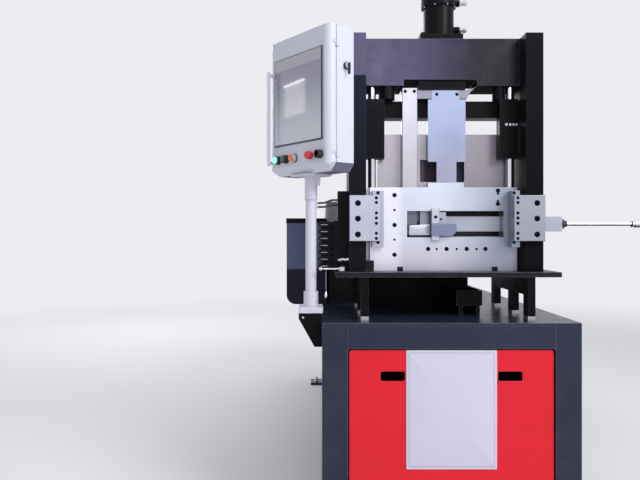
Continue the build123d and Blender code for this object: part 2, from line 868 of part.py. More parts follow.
def roll_shaft(index, upper):
    """One turned set: journal, collars and the forming rolls of this station.
    The lower roll is a trough and the upper one fits in it. The flanges rise a step at each station."""
    angle = math.radians(flange_angle(index))
    run, rise = stud_flange * math.cos(angle), stud_flange * math.sin(angle)
    if upper:
        half = stud_web / 2 - sheet - side_gap
        flank = [(half, roll_radius), (half + run, roll_radius - rise), (half + run, collar_radius)]
        z = upper_shaft_z
    else:
        half = stud_web / 2 + side_gap
        rim, rim_radius = half + run + roll_rim, roll_radius + rise
        flank = [(half, roll_radius), (half + run, rim_radius), (rim, rim_radius), (rim, collar_radius)]
        z = lower_shaft_z
    left = [(stud_centre - dx, r) for dx, r in reversed(flank)]
    right = [(stud_centre + dx, r) for dx, r in flank]
    start = gearbox_x[1] - gearbox_bore + side_gap
    collar_start = gearbox_x[1] + bearing_cap_height + side_gap
    outline = [(start, 0), (start, shaft_radius), (collar_start, shaft_radius), (collar_start, collar_radius)]
    outline += left + right
    outline += [(stand_x[0] - side_gap, collar_radius), (stand_x[0] - side_gap, shaft_radius),
                (shaft_end - shaft_chamfer, shaft_radius), (shaft_end, shaft_radius - shaft_chamfer),
                (shaft_end, 0)]
    return revolve_x(outline, stations[index], z)


def roll_stands():
    """Right-hand bearing stands, one for each station: a ribbed foot, two bearing caps and the gap screw."""
    stands = []
    for y in stations:
        half = stand_depth / 2
        stand = block(stand_x, (y - half, y + half), (base_top, stand_top))
        stand = chamfer(stand.edges().filter_by(Axis.X).group_by(Axis.Z)[-1], stand_rib)
        stand += block((stand_x[0], stand_x[1] + stand_foot), (y - half, y + half),
                       (base_top, base_top + stand_foot_height))
        rib = [(stand_x[1], base_top + stand_foot_height),
               (stand_x[1] + stand_foot, base_top + stand_foot_height),
               (stand_x[1], base_top + stand_foot_height + 2 * stand_foot)]
        stand += plate_xz(rib, (y - stand_rib / 2, y + stand_rib / 2))
        for z in (lower_shaft_z, upper_shaft_z):
            stand += bar_x((stand_x[1], stand_x[1] + bearing_cap_height), y, z, bearing_cap_radius)
            stand -= bar_x((stand_x[0] - 1, shaft_end), y, z, shaft_radius + running)
        adjuster = extrude(RegularPolygon(adjuster_radius, 6), amount=adjuster_height)
        stand += Pos(sum(stand_x) / 2, y, stand_top) * adjuster
        stands.append(stand)
    return Compound(children=stands)


def gearbox():
    """Housing of the drive train, open to the base, with a lid and a bearing boss for every shaft."""
    y = (stations[0] - gearbox_overrun, stations[-1] + gearbox_overrun)
    body = block(gearbox_x, y, (base_top, gearbox_top - gearbox_lid))
    body = fillet(body.edges().filter_by(Axis.Z), gearbox_round)
    wall = gearbox_wall
    room = block((gearbox_x[0] + wall, gearbox_x[1] - wall), (y[0] + wall, y[1] - wall),
                 (base_top - 1, gearbox_top - gearbox_lid - wall))
    for station in stations:
        for z in (lower_shaft_z, upper_shaft_z):
            room -= bar_x((gearbox_x[1] - gearbox_bore - wall, gearbox_x[1]), station, z, bearing_cap_radius)
    body -= room
    over = gearbox_lid_overhang
    lid_y = (y[0] - over, y[1] + over)
    lid = block((gearbox_x[0], gearbox_x[1] + over), lid_y, (gearbox_top - gearbox_lid, gearbox_top))
    body += chamfer(lid.edges().group_by(Axis.Z)[-1], gearbox_lid / 4)
    for station in stations:
        for z in (lower_shaft_z, upper_shaft_z):
            cap = (gearbox_x[1] - gearbox_wall, gearbox_x[1] + bearing_cap_height)
            body += bar_x(cap, station, z, bearing_cap_radius)
            bore = (gearbox_x[1] - gearbox_bore, cap[1] + 1)
            body -= bar_x(bore, station, z, shaft_radius + running)
    return body


def drive_guard():
    """Sheet cover over the drive chain, past the base's left side, with its lower outer edge rounded."""
    y = (front + guard_front, guard_back)
    cover = block(guard_x, y, guard_z)
    cover = fillet(cover.edges().filter_by(Axis.Y).group_by(Axis.X)[0].sort_by(Axis.Z)[0], guard_corner)
    inner = block((guard_x[0] + guard_sheet, guard_x[1]), (y[0] + guard_sheet, y[1] - guard_sheet),
                  (guard_z[0] + guard_sheet, guard_z[1] - guard_sheet))
    corner = inner.edges().filter_by(Axis.Y).group_by(Axis.X)[0].sort_by(Axis.Z)[0]
    inner = fillet(corner, guard_corner - guard_sheet)
    return cover - inner


def drive_motor():
    """Geared motor behind the guard: flange, finned body, fan cover and terminal box, on a bracket."""
    y = (guard_back, guard_back + motor_length)
    body = bar_y(motor_centre, y, motor_z, motor_radius)
    reach, thickness = motor_flange
    body += bar_y(motor_centre, (guard_back, guard_back + thickness), motor_z, motor_radius + reach)
    fin_height, fin_width = motor_fin
    cover = bar_y(motor_centre, (y[1] - motor_fan_cover, y[1]), motor_z, motor_radius + fin_height)
    body += fillet(cover.edges().group_by(Axis.Y)[-1], fin_height)
    fin_y = (guard_back + motor_bracket[0], y[1] - motor_fan_cover)
    for i in range(motor_fin_count):
        fin = block((0, motor_radius + fin_height), fin_y, (-fin_width / 2, fin_width / 2))
        body += Pos(motor_centre, 0, motor_z) * Rot(0, i * 360 / motor_fin_count, 0) * fin
    length, height = motor_bracket
    bracket_z = (motor_z - height / 2, motor_z + height / 2)
    bracket = block((motor_centre, gearbox_x[0]), (guard_back, guard_back + length), bracket_z)
    width, length, height = motor_box
    box_y = (guard_back + motor_box_back, guard_back + motor_box_back + length)
    box = block((motor_centre - width / 2, motor_centre + width / 2), box_y, (motor_z, motor_z + height))
    return body + bracket + chamfer(box.edges().group_by(Axis.Z)[-1], fin_height / 2)


def entry_table():
    """Table on two side legs that leads the strip in between two rails."""
    y0 = stations[-1] + entry_gap
    y = (y0, y0 + entry_table_length)
    x = (stud_centre - entry_table_half, stud_centre + entry_table_half)
    table = block(x, y, (base_top, pass_line))
    inner_x = (x[0] + entry_sheet, x[1] - entry_sheet)
    table -= block(inner_x, (y[0] - 1, y[1] + 1), (base_top - 1, pass_line - entry_sheet))
    inner = strip_width / 2 + strip_room
    guide_y = (y[0] + entry_guide_inset, y[1] - entry_guide_inset)
    for hand in (-1, 1):
        rail_x = sorted((stud_centre + hand * inner, stud_centre + hand * (inner + entry_guide_width)))
        table += block(rail_x, guide_y, (pass_line, pass_line + entry_guide_height))
    return table


def pole_bracket():
    """Gusseted bracket on the base's left side."""
    edge = -side
    outer = pole_x - pole_flange / 2
    y = depth(pole_depth - bracket_width / 2, pole_depth + bracket_width / 2)
    top = pole_flange_z[0]
    body = block((outer, edge), y, (top - bracket_plate, top))
    body += block((edge - bracket_back, edge), y, (bracket_foot, top))
    outline = [(edge, top), (outer, top), (outer, top - bracket_plate - bracket_back),
               (edge - bracket_lip, bracket_foot), (edge, bracket_foot)]
    for start in (y[0], y[1] - bracket_back):
        body += plate_xz(outline, (start, start + bracket_back))
    return body


def pole():
    """Flange, sleeve and lower tube with two cable outlets, and the spigot that the swivel turns on."""
    y = front + pole_depth
    half = pole_flange / 2
    body = block((pole_x - half, pole_x + half), (y - half, y + half), pole_flange_z)
    body = fillet(body.edges().filter_by(Axis.Z), pole_flange_corner)
    body += post(pole_x, y, (pole_flange_z[1], pole_sleeve_top), pole_sleeve_radius)
    body += post(pole_x, y, (pole_flange_z[1], pole_seam), pole_radius)
    for z in cable_start_z:
        outlet = (pole_x + pole_radius / 2, pole_x + pole_radius + cable_boss)
        body += bar_x(outlet, y + cable_offset, z, cable_radius + cable_boss_wall)
    return body + post(pole_x, y, (pole_seam, pole_seam + pole_spigot_height), pole_spigot_radius)


def swivel():
    """Upper tube with the plate that carries the cabinet and a cable outlet on its side."""
    y = front + pole_depth
    low = pole_seam + side_gap
    body = post(pole_x, y, (low, cabinet_z[0]), swivel_radius)
    body -= post(pole_x, y, (low - 1, pole_seam + pole_spigot_height + 1), pole_spigot_radius + running)
    width, length, height = swivel_gland
    x = pole_x + swivel_radius - (width - cable_boss) / 2
    gland_y = y - swivel_gland_forward
    body += block((x, x + width), (gland_y - length / 2, gland_y + length / 2),
                  (swivel_gland_low, swivel_gland_low + height))
    plate = Rot(0, 0, cabinet_turn) * Box(*swivel_plate)
    return body + Pos(pole_x, y, cabinet_z[0] - swivel_plate[2] / 2) * plate


def place_cabinet(shape):
    """From the cabinet's own axes, centred on the pole, to the machine."""
    return Pos(pole_x, front + pole_depth, 0) * Rot(0, 0, cabinet_turn) * shape


def cabinet_shell(y, z_inset=0):
    """The cabinet's outline between two depths, drawn in by a wall, its lower side edges chamfered."""
    low, high = cabinet_z[0] + z_inset, cabinet_z[1] - z_inset
    x = (cabinet_x[0] + z_inset, cabinet_x[1] - z_inset)
    cut = cabinet_chamfer
    outline = [(x[0] + cut, low), (x[1] - cut, low), (x[1], low + cut), (x[1], high), (x[0], high),
               (x[0], low + cut)]
    return plate_xz(outline, y)


def cabinet_housing():
    """Sheet box, open at the front, with the fixed halves of two hinges."""
    y = (door_back + side_gap, cabinet_y[1])
    body = cabinet_shell(y)
    body = fillet(body.edges().filter_by(Axis.Z).group_by(Axis.Y)[-1], cabinet_corner)
    body -= cabinet_shell((y[0] - 1, y[1] - cabinet_sheet), cabinet_sheet)
    for z in hinge_z:
        body += hinge_leaf(z - hinge_height / 2, door_back + side_gap, 1)
    return place_cabinet(body)


def hinge_leaf(low, seam, direction):
    """Half of a hinge at the cabinet's right edge: a knuckle on a short leaf."""
    x = cabinet_x[1]
    z = (low, low + hinge_height / 2 - side_gap / 2)
    knuckle = post(x + side_gap + hinge_radius, door_back + side_gap / 2, z, hinge_radius)
    leaf = block((x, x + hinge_leaf_sheet), sorted((seam, seam + direction * hinge_leaf_width)), z)
    return knuckle + leaf


def cabinet_door():
    """Front frame with rounded corners, holes for the screen and the buttons, and its hinge halves."""
    y, low = (cabinet_y[0], door_back), cabinet_z[0]
    body = block(cabinet_x, y, cabinet_z)
    body = fillet(body.edges().filter_by(Axis.Z).group_by(Axis.Y)[0], door_corner) & cabinet_shell(y)
    start = cabinet_x[0] - 1
    corner = [(start, y[0], low), (start, y[0] + cabinet_chamfer, low), (start, y[0], low + cabinet_chamfer)]
    wedge = make_face(Polyline(*corner, close=True))
    body -= extrude(wedge, amount=cabinet_x[1] - cabinet_x[0] + 2, dir=(1, 0, 0))
    cut = (y[0] - 1, door_back + 1)
    body -= block(screen_x, cut, screen_z)
    for x in (*button_x, stop_x):
        body -= bar_y(x, cut, button_z, button_stem + running)
    for z in hinge_z:
        body += hinge_leaf(z + side_gap / 2, door_back, -1)
    return place_cabinet(body)


def screen():
    y = (cabinet_y[0] - screen_proud, cabinet_y[0] + screen_depth)
    return place_cabinet(block(screen_x, y, screen_z))


def push_button(x):
    face = cabinet_y[0]
    head = bar_y(x, (face - button_height, face - button_lift), button_z, button_radius)
    stem = bar_y(x, (face - button_lift, door_back + button_back), button_z, button_stem)
    return place_cabinet(head + stem)


def emergency_stop():
    """Mushroom button."""
    face = cabinet_y[0]
    cap = bar_y(stop_x, (face - stop_height, face - stop_lift), button_z, stop_radius)
    cap = fillet(cap.edges().group_by(Axis.Y)[0], stop_round)
    neck = bar_y(stop_x, (face - stop_lift, door_back + button_back), button_z, button_stem)
    return place_cabinet(cap + neck)


def panel_socket():
    face = cabinet_y[0]
    body = bar_y(socket_x, (face - socket_height, face), button_z, socket_radius)
    inner = socket_radius - socket_wall
    hole = bar_y(socket_x, (face - socket_height - 1, face - socket_floor), button_z, inner)
    return place_cabinet(body - hole)


def cabinet_handle():
    """Upright round grab bar on two standoffs."""
    y = cabinet_y[0] - handle_reach
    body = post(handle_x, y, handle_z, handle_radius)
    for z in (handle_z[0] + handle_end, handle_z[1] - handle_end):
        body += bar_y(handle_x, (y, cabinet_y[0]), z, handle_radius)
    return place_cabinet(body)


def door_lock():
    """Turning key on the cabinet's side."""
    x = cabinet_x[1]
    body = bar_x((x + side_gap, x + lock_height), lock_y, lock_z, lock_radius)
    reach, thickness, height = lock_wing
    low = lock_z - lock_wing_drop
    body += block((x + lock_height, x + lock_height + reach), (lock_y - thickness / 2, lock_y + thickness / 2),
                  (low, low + height))
    return place_cabinet(body)


def valve_bank():
    """Manifold on the left column with a stack of valves, and their terminal box on top."""
    y = depth(valve_front, valve_front + valve_depth)
    body = block(valve_x, y, valve_z)
    pitch = (valve_z[1] - valve_z[0]) / coil_count
    for i in range(coil_count):
        z0 = valve_z[0] + i * pitch + (pitch - coil_height) / 2
        body += block((valve_x[0] - coil_reach, valve_x[0]), (y[0] + coil_inset, y[1] - coil_inset),
                      (z0, z0 + coil_height))
    box_y = depth(valve_front, valve_front + terminal_depth)
    return body + block(terminal_x, box_y, (valve_z[1], terminal_top))


def lever():
    """Ball-ended lever that turns on a pin in the deck."""
    y = front + lever_depth
    low = deck_top + lever_pad[2] + side_gap
    hub = post(lever_x, y, (low, low + lever_hub_height), lever_hub)
    hub -= post(lever_x, y, (low - 1, low + lever_hub_height + 1), lever_pin + running)
    z = low + lever_hub_height / 2
    rod = bar_x((lever_x - lever_length, lever_x - (lever_hub + lever_pin) / 2), y, z, lever_radius)
    knob = Pos(lever_x - lever_length, y, z) * Rot(0, 90, 0) * Sphere(lever_knob)
    return hub + (rod + knob)


def control_cables():
    """Two cables from the pole to the terminal box."""
    return Compound(children=[control_cable(i) for i in range(2)])


def control_cable(index):
    start = (pole_x + pole_radius + cable_boss, front + pole_depth + cable_offset, cable_start_z[index])
    end = (terminal_x[0], front + valve_front + cable_inset, cable_end_z[index])
    points = [start, (start[0] + cable_lead, *start[1:]), (end[0] - cable_lead, *end[1:]), end]
    corners = [Vector(*p) for p in points]
    radii = []
    for before, here, after in zip(corners, corners[1:], corners[2:]):
        run = min((here - before).length, (after - here).length)
        turn = math.radians((here - before).get_angle(after - here))
        radii.append(0.45 * run / math.tan(turn / 2))
    print("cable", index, "radii", [round(r, 1) for r in radii])
    path = FilletPolyline(*points, radius=radii)
    section = Plane(origin=path @ 0, z_dir=path % 0) * Circle(cable_radius)
    return sweep(section, path=path)


def save(name, shape):
    export_step(shape, f"parts/{name}.step")


def main():
    os.makedirs("parts", exist_ok=True)
    pieces = [base_frame, cabinet_panels, front_panel, hydraulic_tank, pump_motor, deck_plate, deck_risers,
              riser_feet, slug_tray, clamp_blocks, clamp_screws, gibs, die_spacers, guide_posts, top_beam,
              front_die_plate, rear_die_plate, lower_die, crosshead, flange_punch, crossbar, blade_holder,
              press_cylinder, press_ram, width_guide_bar, guide_strip, pull_grip, roll_stands, gearbox,
              drive_guard, drive_motor, entry_table, pole_bracket, pole, swivel, cabinet_housing, cabinet_door,
              screen, emergency_stop, panel_socket, cabinet_handle, door_lock, valve_bank, lever, control_cables]
    for piece in pieces:
        save(piece.__name__, piece())
    for name, hand in (("left", -1), ("right", 1)):
        save(f"column_{name}", column(hand))
    for i in range(station_count):
        save(f"lower_roll_shaft_{i + 1}", roll_shaft(i, False))
        save(f"upper_roll_shaft_{i + 1}", roll_shaft(i, True))
    for i, x in enumerate(button_x):
        save(f"push_button_{i + 1}", push_button(x))


main()
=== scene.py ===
# Looks of the framing machine: finishes on its parts, small fittings, camera, floor and light, all in metres
import json
import math

import bmesh
import bpy
import mathutils
import numpy as np
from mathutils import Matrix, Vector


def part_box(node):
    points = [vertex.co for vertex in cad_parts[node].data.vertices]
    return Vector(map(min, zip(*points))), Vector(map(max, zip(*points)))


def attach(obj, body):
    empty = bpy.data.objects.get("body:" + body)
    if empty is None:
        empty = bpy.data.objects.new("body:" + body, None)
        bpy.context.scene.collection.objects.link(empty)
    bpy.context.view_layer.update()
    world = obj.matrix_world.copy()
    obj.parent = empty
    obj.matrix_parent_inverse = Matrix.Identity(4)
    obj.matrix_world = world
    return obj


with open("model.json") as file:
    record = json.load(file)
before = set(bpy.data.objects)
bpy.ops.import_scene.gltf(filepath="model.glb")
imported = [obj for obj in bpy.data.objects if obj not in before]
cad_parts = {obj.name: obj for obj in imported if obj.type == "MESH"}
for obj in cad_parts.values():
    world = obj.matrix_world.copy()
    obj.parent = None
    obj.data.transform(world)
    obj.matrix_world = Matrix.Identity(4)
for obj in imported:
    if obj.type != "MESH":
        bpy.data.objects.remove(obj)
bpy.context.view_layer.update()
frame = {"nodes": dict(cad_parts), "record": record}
nodes = frame["nodes"]
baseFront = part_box("base_frame")[0].y


# Colours are written as seen, 0 to 255, and turned to linear light by the sRGB curve
def colour(red, green, blue):
    c = np.array([red, green, blue]) / 255
    linear = np.where(c <= 0.04045, c / 12.92, ((c + 0.055) / 1.055) ** 2.4)
    return (*[float(v) for v in linear], 1.0)


def scaled(base, factor):
    return (*[min(1.0, factor * c) for c in base[:3]], 1.0)


# One node: settings go to its properties or sockets by name, and links to its sockets
def addNode(tree, kind, settings=None, **links):
    node = tree.nodes.new(kind)
    for key, value in (settings or {}).items():
        if hasattr(node, key):
            setattr(node, key, value)
        else:
            node.inputs[key].default_value = value
    for key, source in links.items():
        tree.links.new(source, node.inputs[key.replace("_", " ")])
    return node


def startMaterial(name):
    material = bpy.data.materials.new(name)
    material.use_nodes = True
    tree = material.node_tree
    tree.nodes.clear()
    output = tree.nodes.new("ShaderNodeOutputMaterial")
    shader = tree.nodes.new("ShaderNodeBsdfPrincipled")
    tree.links.new(shader.outputs[0], output.inputs["Surface"])
    return material, tree, shader


# Object coordinates, stretched so that a pattern can run along one axis
def objectPoint(tree, stretch=(1, 1, 1)):
    place = addNode(tree, "ShaderNodeTexCoord")
    return addNode(tree, "ShaderNodeMapping", {"Scale": stretch}, Vector=place.outputs["Object"]).outputs[0]


def noise(tree, scale, detail=3, roughness=0.5, stretch=(1, 1, 1)):
    settings = {"Scale": scale, "Detail": detail, "Roughness": roughness}
    return addNode(tree, "ShaderNodeTexNoise", settings, Vector=objectPoint(tree, stretch)).outputs["Fac"]


# Carries low..high over to toLow..toHigh and holds it there
def spread(tree, value, low, high, toLow=0.0, toHigh=1.0, soft=False):
    settings = {"From Min": low, "From Max": high, "To Min": toLow, "To Max": toHigh}
    if soft:
        settings["interpolation_type"] = "SMOOTHSTEP"
    return addNode(tree, "ShaderNodeMapRange", settings, Value=value).outputs[0]


# Patches of a noise, given by its scale, detail and roughness: its low..high carried over in the same way
def patches(tree, pattern, low, high, toLow=0.0, toHigh=1.0):
    return spread(tree, noise(tree, *pattern), low, high, toLow, toHigh)


# One coordinate of the object, 0 to 1 between two places
def along(tree, axis, low, high):
    place = addNode(tree, "ShaderNodeTexCoord")
    split = addNode(tree, "ShaderNodeSeparateXYZ", Vector=place.outputs["Object"])
    return spread(tree, split.outputs[axis], low, high, soft=True)


# One operation on two linked values
def reckon(tree, operation, first, second, clamp=False):
    node = addNode(tree, "ShaderNodeMath", {"operation": operation, "use_clamp": clamp})
    tree.links.new(first, node.inputs[0])
    tree.links.new(second, node.inputs[1])
    return node.outputs[0]


# Colours go to the Mix node's seventh and eighth sockets, and its third output is the blend
def blendColours(tree, factor, first, second):
    node = addNode(tree, "ShaderNodeMix", {"data_type": "RGBA"})
    tree.links.new(factor, node.inputs[0])
    for value, socket in ((first, node.inputs[6]), (second, node.inputs[7])):
        if isinstance(value, tuple):
            socket.default_value = value
        else:
            tree.links.new(value, socket)
    return node.outputs[2]


# The normal with edges rounded off, and how far it turns there: 0 on a face, 1 where it leans by 41 degrees
def roundedEdge(tree, radius):
    bevel = addNode(tree, "ShaderNodeBevel", {"samples": 6, "Radius": radius})
    true = addNode(tree, "ShaderNodeNewGeometry").outputs["True Normal"]
    dot = addNode(tree, "ShaderNodeVectorMath", {"operation": "DOT_PRODUCT"})
    tree.links.new(bevel.outputs[0], dot.inputs[0])
    tree.links.new(true, dot.inputs[1])
    return bevel.outputs[0], spread(tree, dot.outputs["Value"], 1.0, 0.75)


def bump(tree, height, strength, distance, normal):
    settings = {"Strength": strength, "Distance": distance}
    return addNode(tree, "ShaderNodeBump", settings, Height=height, Normal=normal).outputs[0]


# The tone goes over to another one along an axis, once for each (colour, axis, low, high)
def goOver(tree, tone, across):
    for other, axis, low, high in across:
        tone = blendColours(tree, along(tree, axis, low, high), tone, other)
    return tone


# 0 on upright faces, 1 on those that look down, chamfers among them
def lookingDown(tree):
    normal = addNode(tree, "ShaderNodeNewGeometry").outputs["True Normal"]
    split = addNode(tree, "ShaderNodeSeparateXYZ", Vector=normal)
    return spread(tree, split.outputs[2], -0.3, -0.6)


# Sprayed metal: slight tone drift, orange peel, soft edges lighter in patches, on some parts as a painted
# highlight, dust, other tones across an axis, on some parts painted light and shade, and a painted shade
# underneath: a darker, duller tone on faces that look down
def paint(name, base, roughness, edge, edgeWearAndHighlight=None, dust=None, peel=0.12, gloss=0.5, drift=0.9, across=(),
          under=None):
    s = {"clouds": ((3.5, 4), 0.35, 0.68), "dust": ((9, 6, 0.65), 0.5, 0.8, 0.0, 0.22),
         "wearAndHighlightMask": ((60, 5, 0.7), 0.42, 0.6, 0.2, 1.0), "shine": ((14, 5, 0.6), 0.3, 0.7), "glossier": 0.05,
         "duller": 0.07, "peel": (420, 2), "peelDepth": 0.0006}
    material, tree, shader = startMaterial(name)
    tone = blendColours(tree, patches(tree, *s["clouds"]), base, scaled(base, drift))
    tone = goOver(tree, tone, across)
    normal, turn = roundedEdge(tree, edge)
    if dust:
        tone = blendColours(tree, patches(tree, *s["dust"]), tone, dust)
    # Edges lighter in patches: rubbed paint, and on the base, beam, deck and tray a painted highlight along
    # the edges
    if edgeWearAndHighlight:
        wearAndHighlightMask = reckon(tree, "MULTIPLY", turn, patches(tree, *s["wearAndHighlightMask"]), clamp=True)
        tone = blendColours(tree, wearAndHighlightMask, tone, edgeWearAndHighlight)
    rough = patches(tree, *s["shine"], roughness - s["glossier"], roughness + s["duller"])
    # Painted shade: faces that look down get a darker, duller tone
    if under:
        down = lookingDown(tree)
        tone = blendColours(tree, down, tone, under)
        rough = reckon(tree, "MAXIMUM", rough, down)
    tree.links.new(tone, shader.inputs["Base Color"])
    tree.links.new(rough, shader.inputs["Roughness"])
    shader.inputs["Specular IOR Level"].default_value = gloss
    skin = bump(tree, noise(tree, *s["peel"]), peel, s["peelDepth"], normal)
    tree.links.new(skin, shader.inputs["Normal"])
    return material


# Ground steel: fine lines one way, faint clouds, handled smudges in the gloss, bright broken edges
def groundSteel(name, base, roughness, lines, stain=0.04, across=()):
    s = {"fine": (700, 3, 0.6), "draw": 0.03, "drawn": (0.42, 0.72), "grain": 0.08, "lineTone": 0.6,
         "lineDepth": 0.0002, "clouds": ((2.6, 4, 0.5), 0.36, 0.68), "smudges": ((11, 6, 0.65), 0.3, 0.72),
         "glossier": 0.04, "duller": 0.06, "edge": 0.0012, "edgeTone": 1.2}
    material, tree, shader = startMaterial(name)
    stretch = {"X": (s["draw"], 1, 1), "Y": (1, s["draw"], 1), "Z": (1, 1, s["draw"])}[lines]
    fine = noise(tree, *s["fine"], stretch)
    tone = blendColours(tree, patches(tree, *s["clouds"]), base, scaled(base, 1 - stain))
    # Other tones across an axis: on most parts that use them, painted light and shade
    tone = goOver(tree, tone, across)
    drawn = spread(tree, fine, *s["drawn"], 0.0, s["grain"])
    tone = blendColours(tree, drawn, tone, scaled(base, s["lineTone"]))
    normal, turn = roundedEdge(tree, s["edge"])
    tone = blendColours(tree, turn, tone, scaled(base, s["edgeTone"]))
    tree.links.new(tone, shader.inputs["Base Color"])
    shader.inputs["Metallic"].default_value = 1.0
    rough = patches(tree, *s["smudges"], roughness - s["glossier"], roughness + s["duller"])
    tree.links.new(rough, shader.inputs["Roughness"])
    tree.links.new(bump(tree, fine, s["grain"], s["lineDepth"], normal), shader.inputs["Normal"])
    return material


# Moulded plastic: fine spark texture, a faint tone drift, soft edges
def plastic(name, base, roughness, coat=0.0, glow=None, strength=0.0):
    s = {"clouds": ((25, 4), 0.35, 0.7), "drift": 0.84, "shine": ((130, 3), 0.3, 0.7), "glossier": 0.05,
         "duller": 0.07, "spark": (1500, 2), "sparkStrength": 0.1, "sparkDepth": 0.0003, "edge": 0.0008}
    material, tree, shader = startMaterial(name)
    tone = blendColours(tree, patches(tree, *s["clouds"]), base, scaled(base, s["drift"]))
    tree.links.new(tone, shader.inputs["Base Color"])
    rough = patches(tree, *s["shine"], roughness - s["glossier"], roughness + s["duller"])
    tree.links.new(rough, shader.inputs["Roughness"])
    shader.inputs["Coat Weight"].default_value = coat
    if glow:
        shader.inputs["Emission Color"].default_value = glow
        shader.inputs["Emission Strength"].default_value = strength
    normal, _ = roundedEdge(tree, s["edge"])
    skin = bump(tree, noise(tree, *s["spark"]), s["sparkStrength"], s["sparkDepth"], normal)
    tree.links.new(skin, shader.inputs["Normal"])
    return material


# Pale display behind glossy glass: a purple tone at the top under a paler bar, a grey one at the foot, and a
# film of dust
def screenGlass(name):
    s = {"top": colour(134, 133, 156), "foot": colour(202, 208, 219), "z": (1.58, 1.86),
         "bar": colour(166, 164, 180), "barZ": (1.871, 1.879), "film": colour(182, 182, 192),
         "dust": ((12, 6, 0.7), 0.4, 0.8, 0.0, 0.3), "smears": ((30, 5, 0.7), 0.3, 0.7, 0.03, 0.10),
         "coatRoughness": 0.02, "gloss": 0.6}
    material, tree, shader = startMaterial(name)
    tone = blendColours(tree, along(tree, 2, *s["z"]), s["foot"], s["top"])
    tone = goOver(tree, tone, [(s["bar"], 2, *s["barZ"])])
    film = patches(tree, *s["dust"])
    tree.links.new(blendColours(tree, film, tone, s["film"]), shader.inputs["Base Color"])
    tree.links.new(patches(tree, *s["smears"]), shader.inputs["Roughness"])
    shader.inputs["Coat Weight"].default_value = 1.0
    shader.inputs["Coat Roughness"].default_value = s["coatRoughness"]
    shader.inputs["Specular IOR Level"].default_value = s["gloss"]
    return material


greyDust = colour(84, 86, 100)
paleDust = colour(198, 200, 211)
finishes = {
    # Base: its pale edge colour is partly rubbed paint and partly a painted highlight along its edges
    "base_paint": paint("basePaint", colour(41, 47, 66), 0.30, 0.006, gloss=0.2, edgeWearAndHighlight=colour(136, 138, 156),
                        dust=greyDust),
    "panel_red": paint("panelRed", colour(223, 28, 44), 0.32, 0.003, edgeWearAndHighlight=colour(240, 96, 100), peel=0.05,
                       gloss=0.25, drift=0.94),
    "side_paint": paint("sidePaint", colour(48, 54, 72), 0.42, 0.002, gloss=0.2, dust=greyDust),
    "black_paint": paint("blackPaint", colour(14, 14, 18), 0.34, 0.003, gloss=0.08, edgeWearAndHighlight=colour(86, 82, 90),
                         dust=colour(40, 38, 42)),
    # Beam: purple at the left as a painted reflection, darker to the right, painted shade below, painted edge
    # highlights
    "beam_paint": paint("beamPaint", colour(68, 64, 98), 0.24, 0.004, gloss=0.35, edgeWearAndHighlight=colour(160, 156, 186),
                        across=[(colour(15, 15, 24), 0, -0.16, 0.22)], under=colour(5, 5, 7)),
    "machined_steel": groundSteel("machinedSteel", colour(196, 196, 208), 0.36, "X"),
    "tool_steel": groundSteel("toolSteel", colour(152, 163, 189), 0.32, "Z", stain=0.03,
                              across=[(colour(160, 160, 178), 2, 1.62, 1.44)]),
    "screw_black": paint("screwBlack", colour(14, 14, 18), 0.4, 0.0005, gloss=0.1, edgeWearAndHighlight=colour(60, 60, 68)),
    "ground_post": groundSteel("groundPost", colour(226, 226, 234), 0.12, "Z", stain=0.03),
    "roll_steel": groundSteel("rollSteel", colour(176, 176, 187), 0.22, "Y", stain=0.08),
    # Cabinet: its chamfers that look down are painted darker as shade
    "cabinet_paint": paint("cabinetPaint", colour(214, 217, 230), 0.36, 0.003, peel=0.2, dust=paleDust,
                           drift=0.96, under=colour(112, 110, 136)),
    "pole_paint": paint("polePaint", colour(214, 213, 228), 0.36, 0.003, peel=0.2, drift=0.95),
    # Guard: painted lighter above its seam as lit and darker below it as shade
    "guard_paint": paint("guardPaint", colour(30, 32, 50), 0.36, 0.003, gloss=0.15, edgeWearAndHighlight=colour(90, 94, 112),
                         across=[(colour(100, 108, 140), 2, 1.035, 1.042)]),
    "motor_paint": paint("motorPaint", colour(48, 62, 92), 0.42, 0.002, dust=colour(80, 84, 98)),
    "tank_paint": paint("tankPaint", colour(146, 150, 158), 0.42, 0.003, dust=colour(116, 114, 112)),
    # Tray: its bright edges on the black are painted highlights
    "tray_paint": paint("trayPaint", colour(12, 12, 15), 0.30, 0.004, gloss=0.1, edgeWearAndHighlight=colour(190, 188, 198)),
    "zinc_steel": groundSteel("zincSteel", colour(196, 198, 202), 0.38, "X", stain=0.12),
    "lever_steel": groundSteel("leverSteel", colour(214, 214, 220), 0.2, "X", stain=0.04),
    "screen_glass": screenGlass("screenGlass"),
    "black_plastic": plastic("blackPlastic", colour(20, 20, 23), 0.42),
    "green_plastic": plastic("greenPlastic", colour(120, 226, 200), 0.2, 0.6, glow=colour(150, 255, 232),
                             strength=0.75),
    "dark_plastic": plastic("darkPlastic", colour(18, 62, 56), 0.25, 0.5),
    "orange_plastic": plastic("orangePlastic", colour(238, 116, 60), 0.3, 0.4),
    "stop_red": plastic("stopRed", colour(206, 22, 48), 0.28, 0.4),
    "cable_black": paint("cableSheath", colour(44, 36, 40), 0.5, 0.001,
                         across=[(colour(196, 194, 204), 0, -0.4265, -0.4255)]),
}
